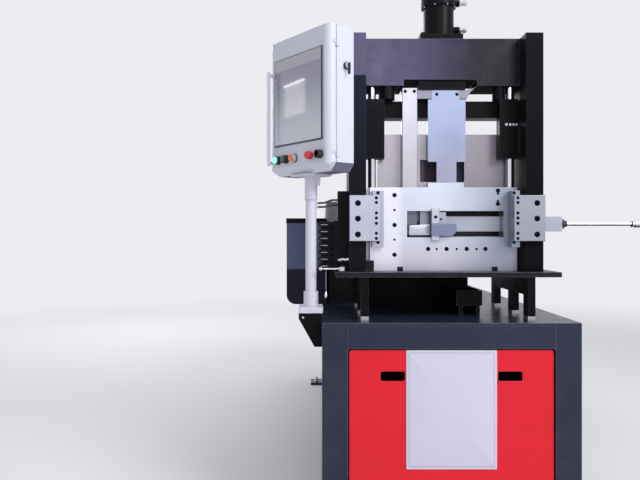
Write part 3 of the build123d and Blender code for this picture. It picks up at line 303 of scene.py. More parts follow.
# Parts whose steel or paint differs from the rest of their slot. On most of them the tones across an axis are
# painted light and shade
ownFinish = {
    # Front plate: lighter at the left, darker to the right and at the foot, as painted light and shade
    "front_die_plate": groundSteel("diePlateSteel", colour(207, 213, 226), 0.38, "X", stain=0.06,
                                   across=[(colour(202, 201, 214), 2, 1.25, 1.12),
                                           (colour(153, 158, 174), 0, -0.03, 0.25),
                                           (colour(226, 226, 238), 0, -0.155, -0.20)]),
    # Rear plate: darker to the right as painted shade
    "rear_die_plate": groundSteel("rearPlateSteel", colour(170, 167, 172), 0.4, "Z", stain=0.08,
                                  across=[(colour(138, 134, 140), 0, -0.04, 0.12)]),
    # Punch: its lower end painted darker as shade from the plate in front
    "flange_punch": groundSteel("punchSteel", colour(184, 184, 191), 0.34, "Z",
                                across=[(colour(116, 118, 130), 2, 1.37, 1.32)]),
    "crossbar": groundSteel("crossbarSteel", colour(133, 131, 142), 0.38, "X"),
    "width_guide_bar": groundSteel("guideBarSteel", colour(172, 176, 189), 0.36, "X",
                                   across=[(colour(222, 222, 232), 0, 0.50, 0.512)]),
    # Grip: painted dark on its lower part as shade on its underside
    "pull_grip": groundSteel("gripSteel", colour(226, 226, 234), 0.2, "X",
                             across=[(colour(72, 76, 74), 2, 1.2500, 1.2400)]),
    # Shoe: a darker lilac middle band, painted shade
    "guide_strip": groundSteel("shoeSteel", colour(192, 196, 208), 0.36, "X",
                               across=[(colour(130, 135, 162), 2, 1.2524, 1.2512),
                                       (colour(192, 196, 208), 2, 1.2004, 1.1992)]),
    # Gearbox: light grey above z 1.042, painted dark below as shade under the deck
    "gearbox": paint("gearboxPaint", colour(26, 26, 32), 0.38, 0.003, gloss=0.3, edgeWearAndHighlight=colour(120, 120, 128),
                     across=[(colour(186, 184, 192), 2, 1.035, 1.042)]),
    "cabinet_door": paint("doorPaint", colour(212, 215, 228), 0.36, 0.003, peel=0.2, dust=paleDust,
                          drift=0.96),
    # Clamps: the right one painted darker than the left as shade
    "clamp_blocks": groundSteel("clampSteel", colour(188, 191, 206), 0.38, "X",
                                across=[(colour(153, 156, 168), 0, -0.1, 0.1)]),
    # Gibs: the right one painted darker and greener than the left as shade
    "gibs": groundSteel("gibSteel", colour(180, 180, 193), 0.38, "Z",
                        across=[(colour(140, 152, 158), 0, -0.1, 0.1)]),
    # Left column: lighter and bluish higher up and purple at its top, a painted reflection
    "column_left": paint("leftColumnPaint", colour(24, 22, 28), 0.4, 0.003, gloss=0.06,
                         edgeWearAndHighlight=colour(96, 92, 104), across=[(colour(28, 36, 50), 2, 1.35, 1.80),
                                                           (colour(98, 95, 124), 2, 1.846, 1.852)]),
    # Right column: a darker copy of the left one's paint, painted shade
    "column_right": paint("rightColumnPaint", colour(14, 13, 18), 0.4, 0.003, gloss=0.05,
                          edgeWearAndHighlight=colour(80, 76, 86)),
    # Deck: its pale edge colour is partly rubbed paint and partly a painted highlight line
    "deck_plate": paint("deckPaint", colour(34, 32, 41), 0.34, 0.004, gloss=0.1, edgeWearAndHighlight=colour(150, 148, 158),
                        dust=colour(58, 56, 62)),
}
for row in frame["record"]["subparts"]:
    mesh = nodes[row["node"]].data
    mesh.materials.clear()
    mesh.materials.append(ownFinish.get(row["node"]) or finishes[row["material_slot"]])
print("materials on", len(nodes), "nodes")


# Quads through an array of points, nu by nv, that may close on itself either way, set at one place or many:
# the copies' points are one array, and their quads are the first's plus an offset
def gridMesh(name, points, closeU=False, closeV=False, places=((0, 0, 0),)):
    nu, nv = points.shape[:2]
    index = np.arange(nu * nv).reshape(nu, nv)
    if closeU:
        index = np.vstack([index, index[:1]])
    if closeV:
        index = np.hstack([index, index[:, :1]])
    quads = np.stack([index[:-1, :-1], index[1:, :-1], index[1:, 1:], index[:-1, 1:]], -1).reshape(-1, 4)
    places = np.array(places, float)
    copies = points.reshape(1, -1, 3) + places[:, None, :]
    offset = (np.arange(len(places)) * nu * nv)[:, None, None]
    mesh = bpy.data.meshes.new(name)
    mesh.from_pydata(copies.reshape(-1, 3), [], (quads[None] + offset).reshape(-1, 4))
    return mesh


# Joins meshes into one piece at the origin, merges seams and poles, and rides it on its body
def finishPiece(name, meshes, finish, body, smooth=28):
    whole = bmesh.new()
    for mesh in meshes:
        whole.from_mesh(mesh)
        bpy.data.meshes.remove(mesh)
    bmesh.ops.remove_doubles(whole, verts=whole.verts, dist=1e-6)
    bmesh.ops.dissolve_degenerate(whole, edges=whole.edges, dist=1e-7)
    bmesh.ops.recalc_face_normals(whole, faces=whole.faces)
    mesh = bpy.data.meshes.new(name)
    whole.to_mesh(mesh)
    whole.free()
    mesh.materials.append(finishes[finish] if isinstance(finish, str) else finish)
    piece = bpy.data.objects.new(name, mesh)
    bpy.context.scene.collection.objects.link(piece)
    mesh.shade_smooth()
    mesh.set_sharp_from_angle(angle=math.radians(smooth))
    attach(piece, body)


# Local X goes along right, local Y along up and local Z along their cross product
def turned(points, right, up):
    right, up = np.array(right, float), np.array(up, float)
    return points @ np.stack([right, up, np.cross(right, up)], 1).T


# The six ways that a shape's local Z can look, each with what its local X and Y turn to
faces = {"-Y": ((1, 0, 0), (0, 0, 1)), "+Y": ((-1, 0, 0), (0, 0, 1)), "+X": ((0, 1, 0), (0, 0, 1)),
         "-X": ((0, -1, 0), (0, 0, 1)), "+Z": ((1, 0, 0), (0, 1, 0)), "-Z": ((1, 0, 0), (0, -1, 0))}


# A shape set at many places, looking one of the six ways
def setAt(shape, way, places, closeU=False):
    return gridMesh("set", turned(shape, *faces[way]), closeU, True, places)


# Places on a grid: every x with every y with every z
def everyPlace(xs, ys, zs):
    return np.stack(np.meshgrid(xs, ys, zs, indexing="ij"), -1).reshape(-1, 3)


# A rounded rectangle, anticlockwise: four arcs of equal angle steps joined by straight sides
def outlineRounded(width, height, corner, steps=6):
    turn = np.linspace(0, math.pi / 2, steps)
    arc = np.stack([np.cos(turn), np.sin(turn)], 1) * corner
    centre = np.array([width / 2 - corner, height / 2 - corner])
    signs = np.array([[1, 1], [-1, 1], [-1, -1], [1, -1]])
    arcs = [arc, arc[::-1] * [-1, 1], arc * -1, arc[::-1] * [1, -1]]
    return np.concatenate([a + centre * s for a, s in zip(arcs, signs)])


# A rim in local X and Y: its section, a list of (how far in, height), runs round the rounded outline
def rim(width, height, corner, section, steps=6, leastCorner=0.0004):
    rings = []
    for inset, level in section:
        ring = outlineRounded(width - 2 * inset, height - 2 * inset, max(corner - inset, leastCorner), steps)
        rings.append(np.column_stack([ring, np.full(4 * steps, level)]))
    return np.stack(rings)


# A plate in local X and Y, its top at thickness: the outline is drawn in by the edge's round, and both faces
# close in their middles
def slab(width, height, thickness, corner, edge, steps=6):
    turn = np.linspace(0, math.pi / 2, 4)
    inset = np.concatenate([[0], edge * (1 - np.cos(turn))])
    level = np.concatenate([[0], thickness - edge + edge * np.sin(turn)])
    rings = rim(width, height, corner, zip(inset, level), steps, edge * 0.2)
    middles = [np.zeros_like(rings[:1]) + [0, 0, z] for z in (level[0], level[-1])]
    return np.concatenate([middles[0], rings, middles[1]])


# A plate between two places in x and two in z, at a depth y, looking to the front or the back
def plateBetween(xs, zs, y, way, thickness, corner, edge):
    shape = slab(xs[1] - xs[0], zs[1] - zs[0], thickness, corner, edge, 3)
    return setAt(shape, way, [(sum(xs) / 2, y, sum(zs) / 2)])


# A turned shape about local Z: radius and height from the profile, drawn to a hexagon where six is 1
def turnedShape(profile, six=None, steps=24):
    profile = np.array(profile, float)
    six = np.zeros(len(profile)) if six is None else np.array(six, float)
    angle = np.linspace(0, 2 * math.pi, steps, endpoint=False)
    hexagon = math.cos(math.pi / 6) / np.cos(angle % (math.pi / 3) - math.pi / 6)
    radius = profile[:, :1] * (1 + six[:, None] * (hexagon - 1))
    return np.stack([radius * np.cos(angle), radius * np.sin(angle), profile[:, 1:] + 0 * angle], -1)


# A socket head: side, broken edge, flat rim and a hexagonal socket
def socketHead(radius, height, steps=24):
    key, soft, depth = radius * 0.58, radius * 0.12, height * 0.4
    profile = [(0, 0), (radius, 0), (radius, height - soft), (radius - soft, height), (key, height),
               (key, depth), (0, depth)]
    return turnedShape(profile, [0, 0, 0, 0, 1, 1, 1], steps)


# A hexagon head on its washer, with the chamfer that turning leaves on the corners
def hexHead(radius, height, steps=24):
    washer, rise = radius * 1.35, height * 0.22
    top, chamfer = radius * 0.84, height * 0.9
    profile = [(0, 0), (washer, 0), (washer, rise), (radius, rise), (radius, chamfer), (top, height),
               (0, height)]
    return turnedShape(profile, [0, 0, 0, 1, 1, 0, 0], steps)


# A round bar along a path of points: rings of one radius square to the path's direction. The aside direction
# is one that no path here takes
def tubeAlong(points, radius, steps=8, aside=(0.13, 0.9, 0.31)):
    points = np.array(points, float)
    way = np.gradient(points, axis=0)
    way /= np.linalg.norm(way, axis=1)[:, None]
    across = np.cross(way, aside)
    across /= np.linalg.norm(across, axis=1)[:, None]
    up = np.cross(way, across)
    angle = np.linspace(0, 2 * math.pi, steps, endpoint=False)[None, :, None]
    rings = points[:, None] + radius * (np.cos(angle) * across[:, None] + np.sin(angle) * up[:, None])
    ends = [np.repeat(points[i][None, None], steps, 1) for i in (0, -1)]
    return np.concatenate([ends[0], rings, ends[1]])


# The cabinet's own axes, turned on the pole: local X, local Y and up
pole = {"x": -0.5445, "y": -1.37, "turn": math.radians(-51.6)}
cabinetX = np.array([math.cos(pole["turn"]), math.sin(pole["turn"]), 0])
cabinetY = np.array([-math.sin(pole["turn"]), math.cos(pole["turn"]), 0])


# Points given in the cabinet's own axes, on the machine
def onCabinet(points):
    return points @ np.stack([cabinetX, cabinetY, [0, 0, 1]]) + np.array([pole["x"], pole["y"], 0])


# A shape whose local Z looks out of the cabinet door, at a place in the cabinet's own axes
def outOfDoor(shape, x, z, face, closeU=False):
    return gridMesh("out", onCabinet(turned(shape, *faces["-Y"]) + np.array([x, face, z])), closeU, True)


# Camera, as the photograph's: straight along the line, level, its middle moved by 2 and 4 of 640 pixels
def makeCamera():
    s = {"place": (-0.5, -4.0, 1.2), "lens": 36.56, "sensor": 36, "shift": (-2 / 640, -4 / 640), "far": 100}
    camera = bpy.data.objects.new("camera", bpy.data.cameras.new("camera"))
    bpy.context.scene.collection.objects.link(camera)
    camera.location = s["place"]
    camera.rotation_euler = (math.pi / 2, 0, 0)
    camera.data.lens = s["lens"]
    camera.data.sensor_width = s["sensor"]
    camera.data.shift_x, camera.data.shift_y = s["shift"]
    camera.data.clip_end = s["far"]
    bpy.context.scene.camera = camera


makeCamera()
print("camera")


# Socket screws and dowels of the die plate, the clamps and the gibs
def dieScrews():
    s = {"leftX": -0.2016, "rowZ": 1.1465, "rightX": 0.2243, "screw": (0.0086, 0.0085), "sunk": 0.0110,
         "screws": ((1.3679, 1.2449, 1.1226), (-0.0634, 0.0128, 0.0955, 0.1724), (1.387, 1.332)),
         "dowel": (0.0050, 0.0008, 18),
         "dowels": ((1.3070, 1.1852), (-0.0276, 0.0543, 0.1362), (1.3745, 1.3440)),
         "clampScrew": (0.0066, 0.0010, 18), "clampX": (-0.2834, 0.2803),
         "clampZ": (1.3517, 1.3334, 1.2916, 1.2717, 1.2506, 1.2107, 1.1904),
         "gibScrew": (0.0072, 0.0012, 20), "gibX": (-0.2745, 0.2735), "gibZ": (1.1752, 1.3738),
         "notch": (0.0236, 0.0196, 0.0008, 0.0006, 0.0002, 3), "notchX": (-0.179, 0.2107),
         "notchDepth": 0.0152, "notchRise": 0.010}
    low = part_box("front_die_plate")[0]

    # Places down the plate's left side, along its lower row and down its right side
    def onPlate(depth, left, lower, right):
        return np.concatenate([everyPlace([s["leftX"]], [low.y + depth], left),
                               everyPlace(lower, [low.y + depth], [s["rowZ"]]),
                               everyPlace([s["rightX"]], [low.y + depth], right)])

    heads = setAt(socketHead(*s["screw"]), "-Y", onPlate(s["sunk"], *s["screws"]))
    dowels = setAt(socketHead(*s["dowel"]), "-Y", onPlate(0, *s["dowels"]))
    finishPiece("die_plate_screws", [heads, dowels], "screw_black", "frame")
    places = everyPlace(s["clampX"], [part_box("clamp_blocks")[0].y], s["clampZ"])
    clamp = setAt(socketHead(*s["clampScrew"]), "-Y", places)
    places = everyPlace(s["gibX"], [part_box("gibs")[0].y], s["gibZ"])
    gib = setAt(socketHead(*s["gibScrew"]), "-Y", places)
    finishPiece("gib_screws", [clamp, gib], "screw_black", "frame")
    # Black plugs in the plate's two lower notches
    places = everyPlace(s["notchX"], [low.y + s["notchDepth"]], [low.z + s["notchRise"]])
    finishPiece("notch_plugs", [setAt(slab(*s["notch"]), "-Y", places)], "black_plastic", "frame")


# Bare white sign on the front panel, with a pressed line round it
def signPlate():
    s = {"width": 0.350, "height": 0.46, "thickness": 0.0025, "corner": 0.004, "edge": 0.0008,
         "lineInset": 0.010, "lineCorner": 0.006, "lineWidth": 0.0016, "lineRise": 0.0005}
    low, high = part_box("front_panel")
    centre = np.array([0, low.y, high.z - s["height"] / 2])
    plate = slab(s["width"], s["height"], s["thickness"], s["corner"], s["edge"])
    white = paint("signWhite", colour(205, 204, 224), 0.32, 0.0006, peel=0.05, drift=0.96)
    finishPiece("sign_plate", [setAt(plate, "-Y", [centre])], white, "front_panel")
    inset, wide, rise = s["lineInset"], s["lineWidth"], s["lineRise"]
    section = [(0, 0), (0, rise), (wide, rise), (wide, 0)]
    line = rim(s["width"] - 2 * inset, s["height"] - 2 * inset, s["lineCorner"], section)
    line = setAt(line, "-Y", [centre - [0, s["thickness"], 0]], closeU=True)
    grey = paint("signLine", colour(168, 170, 188), 0.4, 0.0004)
    finishPiece("sign_line", [line], grey, "front_panel")


dieScrews()
signPlate()
print("die screws, sign plate")


# Socket screws at the tops of the flange punch and the blade holder
def toolScrews():
    s = {"screw": (0.0063, 0.0065), "sunk": 0.009,
         "places": [(-0.152, 1.805), (-0.114, 1.805), (-0.020, 1.7925), (0.064, 1.7925)]}
    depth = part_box("flange_punch")[0].y + s["sunk"]
    heads = setAt(socketHead(*s["screw"]), "-Y", [(x, depth, z) for x, z in s["places"]])
    finishPiece("tool_screws", [heads], "screw_black", "press_slide")


# Width guide: screws of its strip, and on its rod a lock nut, a rubber ring and the ground skin between them
def guideFittings():
    s = {"screw": (0.0063, 0.0065), "screwAt": (-0.036, -0.015, 1.277), "small": (0.0050, 0.001, 18),
         "smallAt": (-0.0099, -1.3253, 1.2691), "y": -1.263, "z": 1.2505, "barEnd": 0.508, "gripStart": 0.801,
         "rod": 0.0077, "skin": 0.0003, "nutLength": 0.020,
         "nut": [(0.0215, 0), (0.0215, 0.0065), (0.0160, 0.0080), (0.0150, 0.0180), (0.0125, 0.0200)],
         "ring": [(0.0114, 0), (0.0128, 0.0006), (0.0134, 0.0016), (0.0134, 0.0030), (0.0128, 0.0040),
                  (0.0114, 0.0044)]}
    # The strip's screw is placed from the back of the strip
    x, depth, z = s["screwAt"]
    screw = setAt(socketHead(*s["screw"]), "-Y", [(x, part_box("guide_strip")[1].y + depth, z)])
    small = setAt(socketHead(*s["small"]), "-Y", [s["smallAt"]])
    finishPiece("guide_screws", [screw, small], "screw_black", "width_guide")
    rod, length = s["rod"], s["nutLength"]
    nut = turnedShape([(rod, 0), *s["nut"], (rod, length)], [0, 0, 0, 1, 1, 0, 0], 36)
    nut = setAt(nut, "+X", [(s["barEnd"], s["y"], s["z"])], closeU=True)
    ring = setAt(turnedShape(s["ring"], steps=32), "+X", [(s["gripStart"], s["y"], s["z"])], closeU=True)
    finishPiece("guide_rod_nut", [nut, ring], "black_plastic", "width_guide")
    start, inner, outer = s["barEnd"] + length, rod - s["skin"], rod + s["skin"]
    reach = s["gripStart"] - start
    skin = turnedShape([(inner, 0), (outer, 0), (outer, reach), (inner, reach)])
    skin = setAt(skin, "+X", [(start, s["y"], s["z"])], closeU=True)
    # Rod skin: bright above, painted dark on its lower part as shade on its underside
    rodShadedBelow = groundSteel("rodSteel", colour(226, 226, 232), 0.2, "X",
                       across=[(colour(62, 66, 64), 2, 1.2500, 1.2460)])
    finishPiece("guide_rod_skin", [skin], rodShadedBelow, "width_guide")


# Bolt row on the slide's right bush block
def slideFittings():
    s = {"bolt": (0.0042, 0.0035, 18), "x": (0.268, 0.284, 0.299, 0.311), "depth": 0.206, "z": 1.664}
    bolts = setAt(hexHead(*s["bolt"]), "-Y", everyPlace(s["x"], [baseFront + s["depth"]], [s["z"]]))
    finishPiece("bush_bolts", [bolts], "lever_steel", "press_slide")


toolScrews()
guideFittings()
slideFittings()
print("tool screws, guide and slide fittings")


# Labels, back plate and end nuts of the valve stack, and the straight hose fitting on the column
def valveFittings():
    s = {"count": 7, "stackZ": (1.064, 1.262), "label": (0.028, 0.0036, 0.0006, 0.0008, 0.0002, 3),
         "labelAt": (0.0165, 0.012, -0.0015), "back": (0.053, 0.194, 0.002, 0.002, 0.0004, 3),
         "backX": 0.029, "backZ": 1.163, "nut": (0.0085, 0.007, 18), "fittingDepth": 0.134, "fittingZ": 1.103,
         "fitting": [(0, 0), (0.009, 0), (0.009, 0.010), (0.0062, 0.011), (0.0062, 0.016), (0.0082, 0.017),
                     (0.0082, 0.031), (0.006, 0.033), (0.0045, 0.041), (0.0035, 0.044), (0, 0.044)]}
    low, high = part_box("valve_bank")
    bottom, top = s["stackZ"]
    middles = bottom + (top - bottom) / s["count"] * (np.arange(s["count"]) + 0.5)
    middleY = (low.y + high.y) / 2
    x, depth, drop = s["labelAt"]
    labels = setAt(slab(*s["label"]), "-Y", everyPlace([low.x + x], [low.y + depth], middles + drop))
    grey = paint("valveLabel", colour(150, 146, 156), 0.35, 0.0005)
    finishPiece("valve_labels", [labels], grey, "frame")
    back = setAt(slab(*s["back"]), "-Y", [(low.x + s["backX"], middleY, s["backZ"])])
    finishPiece("valve_back", [back], "black_plastic", "frame")
    nuts = setAt(hexHead(*s["nut"]), "-X", everyPlace([low.x], [middleY], middles))
    finishPiece("valve_nuts", [nuts], "black_plastic", "frame")
    # Hexagon, neck and union nut along the fitting's axis
    fitting = turnedShape(s["fitting"], [0, 1, 1, 0, 0, 1, 1, 0, 0, 0, 0])
    place = (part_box("column_left")[0].x, baseFront + s["fittingDepth"], s["fittingZ"])
    finishPiece("hose_fitting", [setAt(fitting, "-X", [place])], "lever_steel", "frame")


# Drop weight on a thin rod that hangs from a ring on the lever. The drop's radius is the sine of a ramp that
# is bent towards its foot
def leverPull():
    s = {"x": -0.484, "hang": 0.0012, "ring": 0.0055, "wire": 0.0010, "rod": 0.0008, "dropTop": 0.987,
         "dropLength": 0.037, "drop": 0.0064, "bend": 1.7}
    low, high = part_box("lever")
    x, y, z = s["x"], (low.y + high.y) / 2, (low.z + high.z) / 2 - s["hang"]
    turn = np.linspace(0, 2 * math.pi, 29)
    ring = np.stack([x + 0 * turn, y + s["ring"] * np.cos(turn), z + s["ring"] * np.sin(turn)], 1)
    rod = [(x, y, z - s["ring"]), (x, y, s["dropTop"])]
    ramp = np.linspace(0, 1, 15)
    radius = s["drop"] * np.sin(math.pi * ramp ** s["bend"])
    drop = turnedShape(np.column_stack([radius, s["dropTop"] - s["dropLength"] * ramp]), steps=20)
    meshes = [gridMesh("ring", tubeAlong(ring, s["wire"]), closeV=True),
              gridMesh("rod", tubeAlong(rod, s["rod"]), closeV=True), setAt(drop, "+Z", [(x, y, 0)])]
    finishPiece("lever_pull", meshes, "lever_steel", "lever", smooth=50)


valveFittings()
leverPull()
print("valve fittings, lever pull")


# Steel block at the left of the exit window, a slab whose top rises evenly to the right, on a packing strip
def windowBlock():
    s = {"x": (-0.1403, -0.0536), "z": (1.2038, 1.2430), "rise": 0.0065, "depth": 0.179, "thickness": 0.034,
         "edge": (0.0008, 0.0006), "packingLow": 1.1942, "packingInset": 0.004,
         "packingEdge": (0.0008, 0.0004)}
    width, height = s["x"][1] - s["x"][0], s["z"][1] - s["z"][0]
    back = baseFront + s["depth"] + s["thickness"]
    block = slab(width, height, s["thickness"], *s["edge"], 3)
    block[..., 1] += s["rise"] * (block[..., 0] / width + 0.5) * (block[..., 1] / height + 0.5)
    block = setAt(block, "-Y", [(sum(s["x"]) / 2, back, sum(s["z"]) / 2)])
    steel = groundSteel("blockSteel", colour(196, 200, 210), 0.36, "X")
    finishPiece("window_block", [block], steel, "frame")
    # The packing strip holds the block up, and its black paints the shadow in the gap under the block
    strip = plateBetween(s["x"], (s["packingLow"], s["z"][0]), back, "-Y", s["thickness"] - s["packingInset"],
                         *s["packingEdge"])
    finishPiece("block_packing", [strip], "black_plastic", "frame")


# Dark sheet on the back of the rear plate, behind its upper window: painted shade for what the window shows,
# lighter at its left end and bluish to the right
def windowShade():
    s = {"x": (-0.100, 0.120), "z": (1.410, 1.540), "sheet": (0.0015, 0.004, 0.0004)}
    sheet = plateBetween(s["x"], s["z"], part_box("rear_die_plate")[1].y, "+Y", *s["sheet"])
    dark = paint("shadeSheet", colour(146, 136, 144), 0.5, 0.0005, gloss=0.1,
                 across=[(colour(78, 66, 78), 0, -0.074, -0.050), (colour(84, 86, 104), 0, 0.02, 0.06)])
    finishPiece("window_shade", [sheet], dark, "frame")


# Cabinet front: rim and black borders of the glass, bezels and sleeves of the buttons, and the stop button's
# collar
def cabinetFront():
    s = {"glassX": (-0.152, 0.167), "glassZ": (1.567, 1.921), "face": -0.0726, "door": -0.0706, "gap": 0.003,
         "rimCorner": 0.004,
         "rim": [(0, 0), (0, 0.0028), (0.0006, 0.0032), (0.0020, 0.0032), (0.0026, 0.0026), (0.0026, 0)],
         "border": (0.009, 0.005), "borderInset": 0.001, "borderSheet": (0.0006, 0.001, 0.0002, 3),
         "buttons": {"start": (-0.126, "black_plastic"), "mode": (-0.070, "black_plastic"),
                     "reset": (-0.014, "lever_steel")},
         "buttonZ": 1.511, "bore": 0.01425, "bezel": [(0.0178, 0), (0.0178, 0.0028), (0.0170, 0.0040)],
         "sleeve": [(0.0164, 0.0022), (0.0164, 0.0178), (0.0158, 0.0188)], "stopX": 0.100,
         "collar": [(0.0113, 0), (0.0150, 0), (0.0150, 0.0036), (0.0142, 0.0046), (0.0122, 0.0046),
                    (0.0113, 0.0040)]}
    (left, right), (low, high) = s["glassX"], s["glassZ"]
    width, height, gap = right - left, high - low, s["gap"]
    middleX, middleZ = (left + right) / 2, (low + high) / 2
    edge = rim(width + gap, height + gap, s["rimCorner"], s["rim"])
    grey = paint("rimGrey", colour(120, 118, 134), 0.4, 0.0003)
    edge = outOfDoor(edge, middleX, middleZ, s["door"], closeU=True)
    finishPiece("screen_rim", [edge], grey, "door")
    # The glass's black borders: a wide one at the hinge side, a narrow one at the foot
    side, foot = s["border"]
    upright = slab(side, height - gap, *s["borderSheet"])
    upright = outOfDoor(upright, right - side / 2 - s["borderInset"], middleZ, s["face"])
    lower = slab(width - gap, foot, *s["borderSheet"])
    lower = outOfDoor(lower, middleX, low + foot / 2 + s["borderInset"], s["face"])
    finishPiece("screen_border", [upright, lower], "black_plastic", "door")

    # A ring round a button: its profile closes at the bore
    def ringAt(x, profile):
        closed = [(s["bore"], profile[0][1]), *profile, (s["bore"], profile[-1][1])]
        return outOfDoor(turnedShape(closed, steps=32), x, s["buttonZ"], s["door"], closeU=True)

    bezels = [ringAt(x, s["bezel"]) for x, _ in s["buttons"].values()]
    finishPiece("button_bezels", bezels, "black_plastic", "door")
    # Sleeve round each head up to its lit face
    for name, (x, finish) in s["buttons"].items():
        finishPiece(name + "_sleeve", [ringAt(x, s["sleeve"])], finish, "door")
    collar = outOfDoor(turnedShape(s["collar"], steps=32), s["stopX"], s["buttonZ"], s["door"], closeU=True)
    finishPiece("stop_collar", [collar], "lever_steel", "door")


# Rubber strip in the seam between the door and the box: its section follows the cabinet's six-sided outline
def doorSeal():
    s = {"x": (-0.196, 0.200), "z": (1.448, 2.000), "cut": 0.032, "y": (-0.0342, -0.0306), "in": 0.002,
         "out": 0.0006}
    front, back = s["y"]
    rings = []
    for grow, y in [(-s["in"], front), (s["out"], front), (s["out"], back), (-s["in"], back)]:
        left, right = s["x"][0] - grow, s["x"][1] + grow
        low, high = s["z"][0] - grow, s["z"][1] + grow
        cut = s["cut"] + grow * (2 - math.sqrt(2))
        rings.append([(left + cut, y, low), (right - cut, y, low), (right, y, low + cut), (right, y, high),
                      (left, y, high), (left, y, low + cut)])
    seal = gridMesh("seal", onCabinet(np.array(rings)), closeU=True, closeV=True)
    grey = paint("sealGrey", colour(158, 154, 172), 0.5, 0.0003, drift=0.95)
    finishPiece("door_seal", [seal], grey, "cabinet")


# Key cap of the lock on the cabinet's side, with a raised rim
def lockFace():
    s = {"place": (0.2120, 0.016, 1.850),
         "cap": [(0, 0), (0.0135, 0), (0.0135, 0.0010), (0.01242, 0.0022), (0.0108, 0.0022),
                 (0.00999, 0.0010), (0.00405, 0.0014), (0, 0.0014)]}
    cap = turned(turnedShape(s["cap"], steps=36), *faces["+X"]) + np.array(s["place"])
    bluish = plastic("lockBlue", colour(160, 188, 222), 0.25, 0.5)
    finishPiece("lock_cap", [gridMesh("cap", onCabinet(cap), closeV=True)], bluish, "lock")


# Thin black cover over the top of the drive guard, a bent sheet with a flat top, and the guard's seam strip
def guardCap():
    s = {"rise": 0.022, "sheet": 0.0012, "soft": 0.0008, "lap": 0.03, "corner": 0.0015, "topInset": 0.025,
         "topEdge": (0.01, 0.0003), "seamZ": (1.0385, 1.0425), "seamInset": 0.002,
         "seam": (0.0006, 0.001, 0.0002)}
    low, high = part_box("drive_guard")
    t, rise, lap = s["sheet"], s["rise"], s["lap"]
    width, length = high.x - low.x + t, high.y - low.y + 2 * t
    section = [(-t, 0), (-t, rise), (-t + s["soft"], rise + t), (lap, rise + t), (lap, rise), (0, 0)]
    centre = np.array([low.x + width / 2 - t, (low.y + high.y) / 2, high.z - rise])
    cover = setAt(rim(width, length, s["corner"], section, 3), "+Z", [centre], closeU=True)
    top = slab(width - 2 * s["topInset"], length - 2 * s["topInset"], t, *s["topEdge"], 3)
    top = setAt(top, "+Z", [centre + [0, 0, rise]])
    finishPiece("guard_cover", [cover, top], "black_paint", "frame")
    ends = (low.x + s["seamInset"], high.x - s["seamInset"])
    seam = plateBetween(ends, s["seamZ"], low.y, "-Y", *s["seam"])
    finishPiece("guard_seam", [seam], "side_paint", "frame")


# Black sheet behind the exit window, between the tools and the rear plate: painted shade deep in the slot
def slotShadeSheet():
    s = {"x": (-0.034, 0.250), "z": (1.190, 1.310), "depth": 0.262, "sheet": (0.0018, 0.002, 0.0004)}
    sheet = plateBetween(s["x"], s["z"], baseFront + s["depth"], "-Y", *s["sheet"])
    finishPiece("slot_shade_sheet", [sheet], "black_plastic", "frame")


windowBlock()
windowShade()
cabinetFront()
doorSeal()
lockFace()
guardCap()
slotShadeSheet()
print("exit window, cabinet front, seal, lock, guard cover, slot shade sheet")


# Screws of the roll stands' caps, bolts of the stands' feet and of the gearbox lid
def lineBolts():
    s = {"stations": -0.54 + 0.32 * np.arange(5), "shafts": np.array([1.120, 1.2812]),
         "capFaces": (0.168, -0.322), "capScrew": (0.0036, 0.0030, 18), "capRing": 0.0212,
         "footBolt": (0.0080, 0.0070), "footX": 0.192, "footY": 0.042, "footZ": 0.885,
         "lidBolt": (0.0062, 0.0050), "lidInset": (0.012, 0.030), "lidLip": 0.008, "lidCount": 12}
    bothWays = np.array([-1, 1])
    heights = (s["shafts"][:, None] + s["capRing"] * bothWays).ravel()
    lengths = (s["stations"][:, None] + s["capRing"] * bothWays).ravel()
    places = np.concatenate([everyPlace([x], lengths, heights) for x in s["capFaces"]])
    finishPiece("cap_screws", [setAt(socketHead(*s["capScrew"]), "+X", places)], "screw_black", "frame")
    feet = (s["stations"][:, None] + s["footY"] * bothWays).ravel()
    bolts = setAt(hexHead(*s["footBolt"]), "+Z", everyPlace([s["footX"]], feet, [s["footZ"]]))
    finishPiece("stand_bolts", [bolts], "zinc_steel", "frame")
    low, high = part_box("gearbox")
    inset, endInset = s["lidInset"]
    xs = [low.x + inset, high.x - inset - s["lidLip"]]
    ys = np.linspace(low.y + endInset, high.y - endInset, s["lidCount"])
    bolts = setAt(hexHead(*s["lidBolt"]), "+Z", everyPlace(xs, ys, [high.z]))
    finishPiece("lid_bolts", [bolts], "zinc_steel", "frame")


# Screws of the cylinder's flange, nuts under its collar, and the unions of its two ports
def cylinderFittings():
    s = {"y": -1.21, "flangeZ": 2.046, "flange": (0.076, 0.060), "screw": (0.0085, 0.0090), "collarZ": 2.175,
         "ring": 0.069, "nut": (0.0036, 0.0040, 18), "portX": 0.088, "portZ": (2.082, 2.198),
         "union": [(0, 0), (0.0125, 0), (0.0125, 0.009), (0.008, 0.010), (0.008, 0.014), (0.0115, 0.015),
                   (0.0115, 0.028), (0.009, 0.031), (0, 0.031)]}
    x, y = s["flange"]
    places = everyPlace([-x, x], [s["y"] - y, s["y"] + y], [s["flangeZ"]])
    finishPiece("flange_screws", [setAt(socketHead(*s["screw"]), "+Z", places)], "screw_black", "frame")
    turn = np.arange(8) * math.pi / 4 + math.pi / 8
    ring = np.stack([np.cos(turn), np.sin(turn), 0 * turn], 1) * s["ring"]
    nuts = setAt(hexHead(*s["nut"]), "-Z", ring + [0, s["y"], s["collarZ"]])
    finishPiece("collar_nuts", [nuts], "zinc_steel", "frame")
    union = turnedShape(s["union"], [0, 1, 1, 0, 0, 1, 1, 0, 0])
    unions = setAt(union, "+X", everyPlace([s["portX"]], [s["y"]], s["portZ"]))
    finishPiece("port_unions", [unions], "zinc_steel", "frame")


